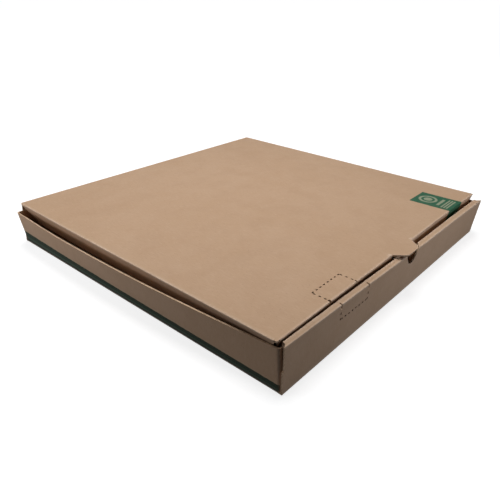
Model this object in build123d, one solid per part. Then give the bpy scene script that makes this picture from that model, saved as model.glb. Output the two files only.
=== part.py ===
"""Closed pizza box, die-cut and folded from one sheet of brown corrugated board.

Millimetres, +Z up. The origin is the middle of the underside, the front wall faces -Y and the
lid's crease runs along X at the back. The tray is the bottom with its four walls: the front wall
rolls over the corner tabs of the side walls and locks in the bottom. The lid swings on the crease
at the top of the back wall, and its flaps tuck inside the tray.
"""
import os
from math import asin, atan2, copysign, cos, degrees, hypot, radians, sin, sqrt, tan

from build123d import *

# board
board = 1.6
fold_inner_radius = 0.3
slit_width = 0.7

# tray foot
tray_width = 400.0
tray_depth = 400.0

# front wall, whose top strip twists from its left end to its right end
front_height = 45.6
front_lean_left = -0.7
front_lean_right = 4.8
strip_width_left = 5.0
strip_width_right = 7.8
strip_rise_left = 2.0
strip_rise_right = 0.0
front_end_inset_left = 2.0
front_end_inset_right = 0.2
front_end_gap = 0.1
front_shoulder_height = 22.0
inner_panel_inset = 4.4
inner_panel_foot = 9.0
inner_panel_gap = 0.2

# locks of the inner panel in the bottom
lock_width = 42.0
lock_spacing = 210.0
lock_clearance = 0.2

# side walls, bowed outwards at the top
side_height = 42.4
side_bow = 11.1
side_rear_flare = 8.5
side_rear_set = 9.4
corner_radius = 3.4
corner_tab_length = 62.0
front_tab_set_left = 1.8
front_tab_set_right = -1.5
front_tab_height = 30.0
front_tab_step = 3.7
tab_gap = 0.2
bow_share = 0.8

# back wall, leaning in towards the lid's crease
crease_height = 52.2
back_lean = 7.7
crease_gap = 0.5

# lid
lid_width = 403.0
lid_depth = 386.2
lid_drop = 1.7
side_flap_depth = 32.0
side_flap_tilt = 26.0
side_flap_front_gap = 5.0
side_flap_rear_gap = 5.0
side_flap_front_slope = 12.0
side_flap_rear_slope = 6.0
front_flap_depth = 37.0
front_flap_tilt = 3.5
front_flap_end_gap = 4.0
front_flap_end_slope = 9.0
lid_corner_inset = 0.5

# thumb tab of the lid, and the cut-out in the front wall under it
thumb_x = 2.0
thumb_width = 44.0
thumb_tip_width = 24.0
thumb_reach = 12.5
thumb_radius = 9.0
notch_x = 8.0
notch_width = 46.0
notch_depth = 19.3
notch_tip_radius = 9.0

# perforated tear-out on the lid and on the front wall
tear_width = 42.6
tear_lid_x = -108.0
tear_front_x = -100.0
tear_lid_depth = 18.4
tear_front_depth = 14.8
dash_length = 2.7
dash_pitch = 5.7
tear_nick = 3.0

half_board = board / 2
fold_radius = fold_inner_radius + board
fold_middle_radius = fold_inner_radius + half_board
fold_run = 2 * fold_radius
half_width = tray_width / 2
half_depth = tray_depth / 2
half_lid = lid_width / 2
lid_angle = degrees(atan2(lid_drop, lid_depth))
hinge_y = half_depth - back_lean - half_board
hinge_z = crease_height - half_board
lid_front_y = hinge_y + half_board - lid_depth
inner_foot_y = -half_depth + inner_panel_foot
cut_reach = 3 * board
trim_reach = 4 * cut_reach


def unit(start, end):
    """Unit vector from one 2D point to another."""
    length = hypot(end[0] - start[0], end[1] - start[1])
    return ((end[0] - start[0]) / length, (end[1] - start[1]) / length)


def shifted(points, distance):
    """Open polyline moved sideways to its left by a distance, with mitred corners."""
    directions = [unit(a, b) for a, b in zip(points, points[1:])]
    result = []
    for index, point in enumerate(points):
        before = directions[max(index - 1, 0)]
        after = directions[min(index, len(directions) - 1)]
        normal = (-before[1] - after[1], before[0] + after[0])
        scale = distance * 2 / (normal[0] ** 2 + normal[1] ** 2)
        result.append((point[0] + normal[0] * scale, point[1] + normal[1] * scale))
    return result


def rounded_path(plane, points, setbacks):
    """Edges of a polyline on a plane, with an arc that starts and ends a setback from each corner."""
    edges = []
    here = points[0]
    for before, corner, after, setback in zip(points, points[1:], points[2:], setbacks):
        way_in = unit(before, corner)
        way_out = unit(corner, after)
        start = (corner[0] - way_in[0] * setback, corner[1] - way_in[1] * setback)
        end = (corner[0] + way_out[0] * setback, corner[1] + way_out[1] * setback)
        edges.append(Edge.make_line(plane.from_local_coords(here), plane.from_local_coords(start)))
        first = plane.from_local_coords(start)
        last = plane.from_local_coords(end)
        if abs(way_in[0] * way_out[1] - way_in[1] * way_out[0]) < 1e-9:
            edges.append(Edge.make_line(first, last))
        else:
            tangent = plane.from_local_coords(corner) - first
            edges.append(Edge.make_tangent_arc(first, tangent, last))
        here = end
    edges.append(Edge.make_line(plane.from_local_coords(here), plane.from_local_coords(points[-1])))
    return edges


def turn(before, corner, after):
    """Signed turn of a polyline at a corner, in radians, positive to the left."""
    way_in = unit(before, corner)
    way_out = unit(corner, after)
    cross = way_in[0] * way_out[1] - way_in[1] * way_out[0]
    return atan2(cross, way_in[0] * way_out[0] + way_in[1] * way_out[1])


def board_section(plane, points, bends):
    """Face of bent board on a plane, from its middle line and the setback or radius of each bend.

    A bend is ("radius", r) for a crease, or ("setback", s) for a long shallow bow.
    """
    sides = []
    for distance in (half_board, -half_board):
        setbacks = []
        for before, corner, after, (kind, value) in zip(points, points[1:], points[2:], bends):
            angle = turn(before, corner, after)
            if kind == "setback":
                setbacks.append(value)
            else:
                radius = value - distance if angle > 0 else value + distance
                setbacks.append(radius * abs(tan(angle / 2)))
        sides.append(rounded_path(plane, shifted(points, distance), setbacks))
    left, right = sides
    start = Edge.make_line(left[0] @ 0, right[0] @ 0)
    end = Edge.make_line(left[-1] @ 1, right[-1] @ 1)
    return Face(Wire(left + right + [start, end]))


def across(x):
    """Plane across the box at an X, with local X along +Y and local Y along +Z."""
    return Plane(origin=(x, 0, 0), x_dir=(0, 1, 0), z_dir=(1, 0, 0))


def upright(x, y, z, outwards=1):
    """Plane facing the front or the back at a point, with local Y along +Z, or along -Z for -1."""
    return Plane(origin=(x, y, z), x_dir=(outwards, 0, 0), z_dir=(0, -1, 0))


def level(x, y, z, outwards=1):
    """Level plane at a point, with local Y along +Y, or along -Y for -1."""
    return Plane(origin=(x, y, z), x_dir=(outwards, 0, 0), z_dir=(0, 0, 1))


def pushed(face, x=0.0, y=0.0, z=0.0):
    """Solid that a flat face sweeps over a straight distance, given by its X, Y and Z."""
    way = Vector(x, y, z)
    return extrude(face, amount=way.length, dir=way)


def block(first, second):
    """Box between any two opposite corners."""
    low = [min(a, b) for a, b in zip(first, second)]
    size = [abs(a - b) for a, b in zip(first, second)]
    return Pos(*low) * Box(*size, align=(Align.MIN, Align.MIN, Align.MIN))


def polygon(*points):
    """Flat face with straight sides."""
    return make_face(Polyline(*points, close=True))


def along_front(x, left, right):
    """Value at an X of a size that changes evenly from the left end of the front to the right."""
    return left + (right - left) * (x + half_width) / tray_width


def front_creases(x):
    """Outer and inner crease of the front wall's strip at an X, each as (y, z)."""
    lean = along_front(x, front_lean_left, front_lean_right)
    rise = along_front(x, strip_rise_left, strip_rise_right)
    width = along_front(x, strip_width_left, strip_width_right)
    outer = (-half_depth - lean, sqrt(front_height**2 - lean**2))
    inner = (outer[0] + sqrt(width**2 - rise**2), outer[1] + rise)
    return outer, inner


def front_section(x):
    """Section of the rolled-over front wall, from the bottom's edge to the inner panel's foot."""
    outer, inner = front_creases(x)
    start = (-half_depth + fold_run, 0.0)
    foot = (-half_depth, 0.0)
    end = (inner_foot_y, board + inner_panel_gap)
    middle = shifted([start, foot, outer, inner, end], -half_board)
    middle[-1] = (middle[-1][0], end[1])
    crease = ("radius", fold_middle_radius)
    return board_section(across(x), middle, [crease, crease, crease])


def front_end_cutter(side, inset):
    """Solid that trims one end of the front wall: a shoulder, and a taper over the strip."""
    outer_x = side * (half_width - inset)
    inner_x = side * (half_width - inner_panel_inset)
    end_x = side * (half_width + cut_reach)
    outer, inner = front_creases(outer_x)
    back_y = inner_foot_y + cut_reach
    foot_y = -half_depth + board + tab_gap
    pocket_y = (outer[0] + inner[0]) / 2
    top = crease_height + cut_reach
    strip_z = front_height - fold_radius
    shoulder = block((outer_x, -half_depth - trim_reach, front_shoulder_height), (end_x, back_y, top))
    panel = polygon((foot_y, fold_radius + half_board), (pocket_y, strip_z), (pocket_y, top), (back_y, top),
                    (back_y, board), (-half_depth + fold_run, board))
    behind = pushed(across(inner_x) * panel, x=end_x - inner_x)
    corner = polygon((outer_x, outer[0]), (end_x, outer[0]), (end_x, pocket_y), (inner_x, pocket_y))
    taper = pushed(level(0, 0, strip_z) * corner, z=top)
    return shoulder + behind + taper


def front_wall():
    """Outer panel, strip, inner panel and locks, ruled from the left end to the right end."""
    end_x = half_width - front_end_gap
    wall = loft([front_section(-end_x), front_section(end_x)], ruled=True)
    wall -= front_end_cutter(-1, front_end_inset_left)
    wall -= front_end_cutter(1, front_end_inset_right)
    for side in (-1, 1):
        lock_x = side * lock_spacing / 2
        wall += block((lock_x - lock_width / 2, inner_foot_y - board, lock_clearance),
                      (lock_x + lock_width / 2, inner_foot_y, board + fold_radius))
    return wall


def side_section(side, z, share):
    """Level section of a side wall with its two corner tabs, from the foot 0 to the top edge 1."""
    wall_x = half_width - half_board
    front_set = front_tab_set_left if side < 0 else front_tab_set_right
    front_y = -half_depth + board + tab_gap + half_board + front_set * share
    rear_y = half_depth - board - tab_gap - half_board - side_rear_set * share
    rear_x = wall_x + side_rear_flare * share
    apex = (side_bow - side_rear_flare / 2) * share
    vertex_x = (wall_x + rear_x) / 2 + apex / (1 - bow_share / 2)
    tab_x = wall_x - corner_tab_length
    vertex = (vertex_x, (front_y + rear_y) / 2)
    points = [(tab_x, front_y), (wall_x, front_y), vertex, (rear_x, rear_y), (tab_x, rear_y)]
    bow = ("setback", bow_share * (rear_y - front_y) / 2)
    crease = ("radius", corner_radius)
    return board_section(level(0, 0, z), [(side * x, y) for x, y in points], [crease, bow, crease])


def side_wall(side):
    """Side wall with its corner tabs, ruled from foot to top, and its fold along the bottom.

    The front tab steps down from the wall's top edge, to stand inside the rolled-over front wall.
    """
    wall = loft([side_section(side, fold_radius, 0.0), side_section(side, side_height, 1.0)], ruled=True)
    wall -= block((side * (half_width - front_tab_step), -half_depth, front_tab_height),
                  (side * (half_width - corner_tab_length - cut_reach), -half_depth + trim_reach, crease_height))
    end_y = half_depth - fold_radius
    centre = (side * (half_width - fold_radius), fold_radius)
    outside = Pos(*centre) * Circle(fold_radius) - Pos(*centre) * Circle(fold_inner_radius)
    quarter = Pos(centre[0] + side * fold_radius / 2, fold_radius / 2) * Rectangle(fold_radius, fold_radius)
    fold = pushed(upright(0, -end_y, 0) * (outside & quarter), y=2 * end_y)
    return wall + fold


def back_wall():
    """Back wall from the bottom's edge to just under the lid's crease."""
    start = (half_depth - fold_run, 0.0)
    foot = (half_depth, 0.0)
    top = (half_depth - back_lean, crease_height)
    middle = shifted([start, foot, top], half_board)
    down = unit(middle[-1], middle[-2])
    stop = half_board + crease_gap
    middle[-1] = (hinge_y + down[0] * stop, hinge_z + down[1] * stop)
    section = board_section(across(-half_width), middle, [("radius", fold_middle_radius)])
    return pushed(section, x=tray_width)


def notch_outline(width, depth, rise):
    """Rounded V below local Y of 0, with straight sides above it."""
    half = width / 2
    centre_y = notch_tip_radius - depth
    slope = asin(notch_tip_radius / hypot(half, centre_y)) + atan2(-centre_y, half)
    touch = (notch_tip_radius * sin(slope), centre_y - notch_tip_radius * cos(slope))
    edges = [
        Edge.make_line((half, 0), touch),
        Edge.make_three_point_arc(touch, (0, -depth), (-touch[0], touch[1])),
        Edge.make_line((-touch[0], touch[1]), (-half, 0)),
        Edge.make_line((-half, 0), (-half, rise)),
        Edge.make_line((-half, rise), (half, rise)),
        Edge.make_line((half, rise), (half, 0)),
    ]
    return Face(Wire(edges))


def notch_cutter():
    """Solid that cuts the thumb opening through the outer panel, the strip and the inner panel."""
    outer, inner = front_creases(notch_x)
    strip_width = along_front(notch_x, strip_width_left, strip_width_right)
    width_at_outer = notch_width * (1 - strip_width / notch_depth)
    rise = cut_reach + strip_width
    tab_y = -half_depth + board + tab_gap
    outside = upright(notch_x, outer[0] - cut_reach, outer[1])
    inside = upright(notch_x, tab_y, inner[1])
    outer_cut = pushed(outside * notch_outline(width_at_outer, notch_depth - strip_width, rise),
                       y=tab_y - outer[0] + cut_reach)
    inner_cut = pushed(inside * notch_outline(notch_width, notch_depth, rise), y=inner[0] - tab_y + cut_reach)
    plan = polygon((notch_x - width_at_outer / 2, outer[0]), (notch_x - notch_width / 2, tab_y),
                   (notch_x + notch_width / 2, tab_y), (notch_x + width_at_outer / 2, outer[0]))
    strip_cut = pushed(level(0, 0, outer[1] - fold_radius) * plan, z=rise + fold_radius)
    return outer_cut + inner_cut + strip_cut


def dashes(length):
    """Start and end of each dash along a side, centred on it."""
    count = round((length - dash_length) / dash_pitch) + 1
    first = (length - (count - 1) * dash_pitch - dash_length) / 2
    return [(first + index * dash_pitch, first + index * dash_pitch + dash_length) for index in range(count)]


def panel_slit(x, z, width, height):
    """Slit through the outer panel of the front wall, centred on an X and rising from a Z."""
    outer, _ = front_creases(x)
    face_y = -half_depth + (outer[0] + half_depth) * z / outer[1]
    return block((x - width / 2, face_y - board, z), (x + width / 2, face_y + board + tab_gap, z + height))


def front_tear_cutters():
    """Slits of the tear-out: two across the strip, and dashes down and along the outer panel."""
    cutters = []
    half = tear_width / 2
    bottom = front_height - tear_front_depth
    for x in (tear_front_x - half, tear_front_x + half):
        outer, inner = front_creases(x)
        front_y = outer[0] - board
        back_y = inner[0] - board
        strip = polygon((front_y, outer[1] - fold_radius), (back_y, inner[1] - fold_run),
                        (back_y, inner[1] + board), (front_y, outer[1] + board))
        cutters.append(pushed(across(x - slit_width / 2) * strip, x=slit_width))
        for start, end in dashes(tear_front_depth - fold_run):
            cutters.append(panel_slit(x, bottom + start, slit_width, end - start))
    for start, end in dashes(tear_width):
        middle_x = tear_front_x - half + (start + end) / 2
        cutters.append(panel_slit(middle_x, bottom - slit_width, end - start, slit_width))
    return cutters


def tray():
    """Bottom and four walls of one folded sheet."""
    edge_x = half_width - fold_radius
    edge_y = half_depth - fold_run
    sheet = block((-edge_x, -edge_y, 0), (edge_x, edge_y, board))
    for side in (-1, 1):
        sheet += block((side * (half_width - fold_run), -half_depth + fold_radius, 0),
                       (side * edge_x, half_depth - fold_radius, board))
    reach = lock_width / 2 + lock_clearance
    for side in (-1, 1):
        lock_x = side * lock_spacing / 2
        sheet -= block((lock_x - reach, inner_foot_y - board - lock_clearance, -board),
                       (lock_x + reach, inner_foot_y + lock_clearance, 2 * board))
    front = front_wall() - notch_cutter()
    for cutter in front_tear_cutters():
        front -= cutter
    return sheet + front + back_wall() + side_wall(-1) + side_wall(1)


def thumb_outline(rise):
    """Outline of the thumb tab, with local Y away from the lid and its root at local Y of 0."""
    half = thumb_width / 2
    tip = thumb_tip_width / 2
    arc = FilletPolyline((-half, 0), (-tip, thumb_reach), (tip, thumb_reach), (half, 0), radius=thumb_radius)
    root = Polyline((half, 0), (half, -rise), (-half, -rise), (-half, 0))
    return make_face([*arc.edges(), *root.edges()])


def flap_section(plane, depth, tilt):
    """Section of a fold and its flap, with local X outwards from the panel's edge and local Y up."""
    corner_x = fold_run - half_board
    tip = (corner_x - depth * sin(radians(tilt)), -depth * cos(radians(tilt)))
    points = [(0, -half_board), (corner_x, -half_board), tip]
    return board_section(plane, points, [("radius", fold_middle_radius)])


def side_flap(side):
    """Side flap of the lid with slanted ends."""
    front_y = lid_front_y + side_flap_front_gap
    rear_y = hinge_y - side_flap_rear_gap
    root = Plane((side * (half_lid - fold_run), front_y, crease_height), x_dir=(side, 0, 0), z_dir=(0, -side, 0))
    flap = pushed(flap_section(root, side_flap_depth, side_flap_tilt), y=rear_y - front_y)
    low = crease_height - side_flap_depth - board
    high = crease_height - fold_run
    for end_y, slope in ((front_y, side_flap_front_slope), (rear_y, -side_flap_rear_slope)):
        outside_y = end_y - copysign(board, slope)
        wedge = polygon((end_y, high), (end_y + slope, low), (outside_y, low), (outside_y, high))
        flap -= pushed(across(side * half_lid - trim_reach) * wedge, x=2 * trim_reach)
    return flap


def front_flap():
    """Front flap of the lid, with the opening that the thumb tab is cut from."""
    half = half_lid - front_flap_end_gap
    root = Plane((-half, lid_front_y + fold_run, crease_height), x_dir=(0, -1, 0), z_dir=(-1, 0, 0))
    flap = pushed(flap_section(root, front_flap_depth, front_flap_tilt), x=2 * half)
    high = crease_height - fold_run
    low = crease_height - front_flap_depth - board
    for side in (-1, 1):
        end_x = side * half
        outside_x = end_x + side * board
        low_x = end_x - side * front_flap_end_slope
        wedge = polygon((end_x, high), (low_x, low), (outside_x, low), (outside_x, high))
        flap -= pushed(upright(0, lid_front_y - cut_reach, 0) * wedge, y=trim_reach)
    opening = upright(thumb_x, lid_front_y - cut_reach, crease_height, outwards=-1)
    return flap - pushed(opening * thumb_outline(cut_reach), y=3 * cut_reach)


def lid_tear_cutters():
    """Dashes of the tear-out on the lid, and the nicks that it leaves in the front crease."""
    cutters = []
    half = tear_width / 2
    rear_y = lid_front_y + tear_lid_depth
    low = crease_height - 2 * board
    high = crease_height + board
    for x in (tear_lid_x - half, tear_lid_x + half):
        left_x = x - slit_width / 2
        right_x = x + slit_width / 2
        for start, end in dashes(tear_lid_depth - fold_run):
            cutters.append(block((left_x, rear_y - end, low), (right_x, rear_y - start, high)))
        nick_z = crease_height - tear_nick
        cutters.append(block((left_x, lid_front_y - board, nick_z), (right_x, lid_front_y + fold_radius, high)))
    for start, end in dashes(tear_width):
        left_x = tear_lid_x - half
        cutters.append(block((left_x + start, rear_y, low), (left_x + end, rear_y + slit_width, high)))
    return cutters


def lid():
    """Lid panel with its crease bead, flaps and thumb tab, turned down to where it rests."""
    low = crease_height - board
    edge_x = half_lid - fold_run
    edge_y = lid_front_y + fold_run
    corner_x = half_lid - lid_corner_inset
    corner_y = lid_front_y + lid_corner_inset
    result = block((-edge_x, edge_y, low), (edge_x, hinge_y, crease_height))
    result += Pos(0, hinge_y, hinge_z) * Rot(0, 90, 0) * Cylinder(half_board, 2 * corner_x)
    for side in (-1, 1):
        flap_end_x = side * (half_lid - front_flap_end_gap)
        result += block((side * edge_x, edge_y, low),
                        (side * corner_x, lid_front_y + side_flap_front_gap, crease_height))
        result += block((side * edge_x, hinge_y - side_flap_rear_gap, low),
                        (side * corner_x, hinge_y, crease_height))
        result += block((flap_end_x, corner_y, low), (side * corner_x, edge_y, crease_height))
        result += side_flap(side)
    result += front_flap()
    result += pushed(level(thumb_x, lid_front_y, low, outwards=-1) * thumb_outline(fold_run), z=board)
    for cutter in lid_tear_cutters():
        result -= cutter
    return result.rotate(Axis((0, hinge_y, hinge_z), (1, 0, 0)), lid_angle)


os.makedirs("parts", exist_ok=True)
export_step(tray(), "parts/tray.step")
export_step(lid(), "parts/lid.step")
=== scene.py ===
"""Looks of a closed pizza box, folded from one sheet of brown corrugated board.

Lengths in the classes below are millimetres in the frame of the CAD part: the origin is the middle
of the underside, the front wall faces -Y and the lid's crease runs along X at the back. Blender
gets metres. Each panel, wall and flap is a bent sheet: a profile carried along a straight run, cut
by outlines, with the board's thickness on both sides of its middle surface.
"""
from __future__ import annotations

import logging
import math
from dataclasses import dataclass, field
from enum import Enum
from typing import Callable, Sequence

import bpy
import numpy as np
from mathutils import Matrix

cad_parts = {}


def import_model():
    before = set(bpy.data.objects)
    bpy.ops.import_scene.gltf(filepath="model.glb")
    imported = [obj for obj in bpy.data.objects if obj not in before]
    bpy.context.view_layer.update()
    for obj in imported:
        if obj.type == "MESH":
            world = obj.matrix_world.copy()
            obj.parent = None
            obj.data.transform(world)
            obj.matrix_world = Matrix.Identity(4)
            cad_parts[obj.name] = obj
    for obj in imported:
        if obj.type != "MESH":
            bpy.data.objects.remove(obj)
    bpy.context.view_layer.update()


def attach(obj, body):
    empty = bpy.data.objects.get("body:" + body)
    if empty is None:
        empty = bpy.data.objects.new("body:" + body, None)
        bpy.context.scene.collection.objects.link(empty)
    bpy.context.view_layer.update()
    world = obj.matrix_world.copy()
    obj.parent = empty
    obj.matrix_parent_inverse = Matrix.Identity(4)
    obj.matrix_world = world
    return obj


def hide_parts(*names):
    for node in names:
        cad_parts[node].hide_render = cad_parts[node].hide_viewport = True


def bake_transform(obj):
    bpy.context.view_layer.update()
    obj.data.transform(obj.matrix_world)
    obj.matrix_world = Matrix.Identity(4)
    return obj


LOG = logging.getLogger("pizza_box")
MM = 0.001
Array = np.ndarray
Point = tuple[float, float]
Colour = tuple[float, float, float]
Socket = bpy.types.NodeSocket


def linear(red: int, green: int, blue: int) -> Colour:
    """Linear colour of an 8-bit sRGB one, by the sRGB curve.

    Args:
        red: Red, 0 to 255.
        green: Green, 0 to 255.
        blue: Blue, 0 to 255.

    Returns:
        The three linear values.
    """
    share = np.array([red, green, blue]) / 255.0
    curve = np.where(share <= 0.04045, share / 12.92, ((share + 0.055) / 1.055) ** 2.4)
    return tuple(float(value) for value in curve)


# Board, bent lines and outlines


class Run(Enum):
    """Axis that a sheet's profile is carried along; its profile is drawn in the other two axes."""

    X = (0, 1, 2)
    Y = (1, 0, 2)
    Z = (2, 0, 1)


class Face(Enum):
    """Material slots of a sheet: its two liners, and its raw edges across and along the flutes."""

    OUTSIDE = 0
    INSIDE = 1
    FLUTED_EDGE = 2
    CLOSED_EDGE = 3


@dataclass(frozen=True)
class Board:
    """Thickness and fold radii of the corrugated board.

    The outer liner of a fold keeps to the planes of its two sides up to a small radius of its own.
    """

    thickness: float = 1.6
    inner_radius: float = 0.3
    liner_radius: float = 0.6

    @property
    def half(self) -> float:
        """Half of the thickness."""
        return self.thickness / 2

    @property
    def outer_radius(self) -> float:
        """Radius of the outer liner in a fold."""
        return self.inner_radius + self.thickness

    @property
    def middle_radius(self) -> float:
        """Radius of the middle surface in a fold."""
        return self.inner_radius + self.half

    @property
    def run(self) -> float:
        """Distance from a folded edge to where the sheet is flat."""
        return 2 * self.outer_radius

    def fold(self, turn: float, radius: float, count: int) -> tuple[Array, Array]:
        """Samples of a fold, from one side to the other.

        With D the distance of the small arc's centre from the fold's own centre and r its radius,
        the point at an angle t from the bisector is seen from the fold's centre at the angle
        atan2(r sin t, D + r cos t), at the distance hypot(r sin t, D + r cos t).

        Args:
            turn: The fold's turn in radians.
            radius: Radius of the middle surface.
            count: How many samples the fold gets.

        Returns:
            The samples' angles from 0 to the turn, and how far the outer liner stands out from the
            fold's round at each.
        """
        outer = radius + self.half
        centre = (outer - self.liner_radius) / math.cos(turn / 2)
        lean = np.linspace(-turn / 2, turn / 2, count - 2)
        across, along = self.liner_radius * np.sin(lean), centre + self.liner_radius * np.cos(lean)
        angle = np.concatenate([[0.0], turn / 2 + np.arctan2(across, along), [turn]])
        return angle, np.concatenate([[outer], np.hypot(across, along), [outer]]) - outer


def unit(start: Array, end: Array) -> Array:
    """Unit vector from one point to another."""
    way = np.subtract(end, start)
    return way / np.hypot(*way)


def shifted(points: Sequence[Point], distance: float) -> list[Point]:
    """Polyline moved to its left, with mitred corners.

    Each point moves along the sum of the two unit normals beside it, times twice the distance over
    the square of that sum's length.

    Args:
        points: The polyline.
        distance: How far it moves.

    Returns:
        The moved points.
    """
    line = np.array(points, float)
    ways = np.diff(line, axis=0)
    ways /= np.linalg.norm(ways, axis=1)[:, None]
    normals = np.stack([-ways[:, 1], ways[:, 0]], axis=1)
    total = np.vstack([normals[:1], normals]) + np.vstack([normals, normals[-1:]])
    moved = line + total * (2.0 * distance / (total**2).sum(axis=1))[:, None]
    return [tuple(point) for point in moved]


@dataclass(frozen=True)
class Profile:
    """A bent line in a plane, with its left normals, sampled at stations along it.

    The bulge is how far the outer liner stands out from a fold's round, positive on the left.
    """

    station: Array
    point: Array
    normal: Array
    bulge: Array
    straights: tuple[tuple[float, float], ...]

    @classmethod
    def bend(cls, points: Sequence[Point], radii: Sequence[float], board: Board | None = None,
             bow: float | None = None, steps: int = 8) -> Profile:
        """Bends a polyline at its corners.

        A corner with a radius r and a turn a gets the arc that starts and ends r tan(a / 2) from
        it. The middle corner of a bowed line gets the parabola (1-t)^2 A + 2t(1-t) C + t^2 B
        instead, which starts and ends a bow's length from it.

        Args:
            points: Corners of the line.
            radii: Radius at each inner corner; ignored at the bow's corner.
            board: The board whose outer liner is crisp at the corners, or None for plain arcs.
            bow: Share of the legs beside the middle corner that its parabola takes.
            steps: Samples of each bend.

        Returns:
            The bent line.
        """
        places = [np.array([points[0]], float)]
        normals = [np.array([left(unit(points[0], points[1]))])]
        bulges = [np.zeros(1)]
        marks = [0]
        count = 1
        middle = len(radii) // 2
        for index, radius in enumerate(radii):
            before, corner, after = (np.array(point, float) for point in points[index:index + 3])
            way_in, way_out = unit(before, corner), unit(corner, after)
            share = np.linspace(0.0, 1.0, steps + 1)[:, None]
            bulge = np.zeros(steps + 1)
            if bow is not None and index == middle:
                start = corner - way_in * bow * np.hypot(*(corner - before))
                end = corner + way_out * bow * np.hypot(*(after - corner))
                line = (1 - share) ** 2 * start + 2 * share * (1 - share) * corner + share**2 * end
                slope = (1 - share) * (corner - start) + share * (end - corner)
                slope /= np.linalg.norm(slope, axis=1)[:, None]
                side = np.stack([-slope[:, 1], slope[:, 0]], axis=1)
            else:
                angle = bend_angle(way_in, way_out)
                turn = share[:, 0] * angle
                if board is not None:
                    turn, bulge = board.fold(abs(angle), radius, steps + 1)
                    turn, bulge = math.copysign(1.0, angle) * turn, -math.copysign(1.0, angle) * bulge
                line, spin = rounding(corner, way_in, radius, angle, turn)
                side = spin @ left(way_in)
            places.append(line)
            normals.append(side)
            bulges.append(bulge)
            marks += [count, count + steps]
            count += steps + 1
        places.append(np.array([points[-1]], float))
        normals.append(np.array([left(unit(points[-2], points[-1]))]))
        bulges.append(np.zeros(1))
        marks.append(count)
        point = np.vstack(places)
        station = np.concatenate([[0.0], np.cumsum(np.linalg.norm(np.diff(point, axis=0), axis=1))])
        pairs = [(float(station[a]), float(station[b])) for a, b in zip(marks[::2], marks[1::2])]
        return cls(station, point, np.vstack(normals), np.concatenate(bulges), tuple(pairs))

    @classmethod
    def between(cls, first: Profile, last: Profile) -> Profile:
        """Profile half way between two of the same make."""
        straights = tuple(tuple(np.add(a, b) / 2) for a, b in zip(first.straights, last.straights))
        return cls((first.station + last.station) / 2, (first.point + last.point) / 2,
                   (first.normal + last.normal) / 2, (first.bulge + last.bulge) / 2, straights)

    def crease(self, index: int) -> float:
        """Station in the middle of a bend."""
        return (self.straights[index][1] + self.straights[index + 1][0]) / 2

    def lines(self, step: float, extra: Sequence[Array | float] = (),
              fine: Sequence[tuple[float, float, float]] = ()) -> Array:
        """Grid lines along the whole profile, one at each of its own stations among them."""
        return grid_lines(0.0, self.station[-1], step, [self.station, *extra], fine)

    def station_at(self, straight: int, axis: int, value: Array | float) -> Array:
        """Station on one of the straight parts where a coordinate has a value.

        Args:
            straight: Index of the straight part.
            axis: 0 or 1, the coordinate.
            value: The coordinate's value, or an array of them.

        Returns:
            The stations.
        """
        ends = np.array(self.straights[straight])
        at = np.interp(ends, self.station, self.point[:, axis])
        return ends[0] + (np.asarray(value, float) - at[0]) / (at[1] - at[0]) * (ends[1] - ends[0])


def left(way: Array) -> Array:
    """Vector turned a quarter to the left."""
    return np.array([-way[1], way[0]])


def bend_angle(way_in: Array, way_out: Array) -> float:
    """Angle between two ways in radians, positive to the left."""
    return math.atan2(way_in[0] * way_out[1] - way_in[1] * way_out[0], way_in @ way_out)


def rounding(corner: Array, way_in: Array, radius: float, angle: float, turn: Array) -> tuple[Array, Array]:
    """Points of the arc that rounds a corner.

    Args:
        corner: The corner.
        way_in: Unit vector towards it.
        radius: The arc's radius.
        angle: Its whole angle, positive to the left.
        turn: The angle at each point, from 0 to the whole angle.

    Returns:
        The points, and the rotation matrix of each angle.
    """
    start = corner - way_in * radius * math.tan(abs(angle) / 2)
    inward = left(way_in) * math.copysign(radius, angle)
    spin = np.stack([np.cos(turn), -np.sin(turn), np.sin(turn), np.cos(turn)], axis=1).reshape(-1, 2, 2)
    return start + inward - spin @ inward, spin


@dataclass(frozen=True)
class Outline:
    """Closed outline on a sheet, in sheet coordinates, as a fine polyline."""

    points: Array

    @classmethod
    def filleted(cls, corners: Sequence[Point], radii: Sequence[float], steps: int = 10) -> Outline:
        """Closed polygon with rounded corners.

        Args:
            corners: Corners in order.
            radii: Radius at each corner, 0 for a sharp one.
            steps: Samples of each round.

        Returns:
            The outline.
        """
        parts = []
        count = len(corners)
        for index, radius in enumerate(radii):
            corner = np.array(corners[index], float)
            way_in = unit(corners[index - 1], corner)
            way_out = unit(corner, corners[(index + 1) % count])
            if radius == 0:
                parts.append(corner[None])
                continue
            angle = bend_angle(way_in, way_out)
            parts.append(rounding(corner, way_in, radius, angle, np.linspace(0.0, angle, steps + 1))[0])
        return cls(np.vstack(parts))

    def inside(self, where: Array) -> Array:
        """Which points lie inside, by the count of outline edges to their right.

        Args:
            where: Points, in an array whose last axis is 2.

        Returns:
            Truth values, in the shape of the points.
        """
        x, y = where[..., 0, None], where[..., 1, None]
        a, b = self.points, np.roll(self.points, -1, axis=0)
        crosses = (a[:, 1] > y) != (b[:, 1] > y)
        rise = np.where(b[:, 1] == a[:, 1], 1.0, b[:, 1] - a[:, 1])
        right = x < a[:, 0] + (y - a[:, 1]) * (b[:, 0] - a[:, 0]) / rise
        return (crosses & right).sum(axis=-1) % 2 == 1

    def nearest(self, where: Array) -> Array:
        """Nearest point of the outline to each point.

        Args:
            where: Points, in an array of shape (n, 2).

        Returns:
            The nearest points, in the same shape.
        """
        a, b = self.points, np.roll(self.points, -1, axis=0)
        edge = b - a
        away = where[:, None] - a
        share = np.clip((away * edge).sum(-1) / np.maximum((edge**2).sum(-1), 1e-9), 0, 1)
        foot = a + share[..., None] * edge
        best = np.argmin(((where[:, None] - foot) ** 2).sum(-1), axis=1)
        return foot[np.arange(len(where)), best]


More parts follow.
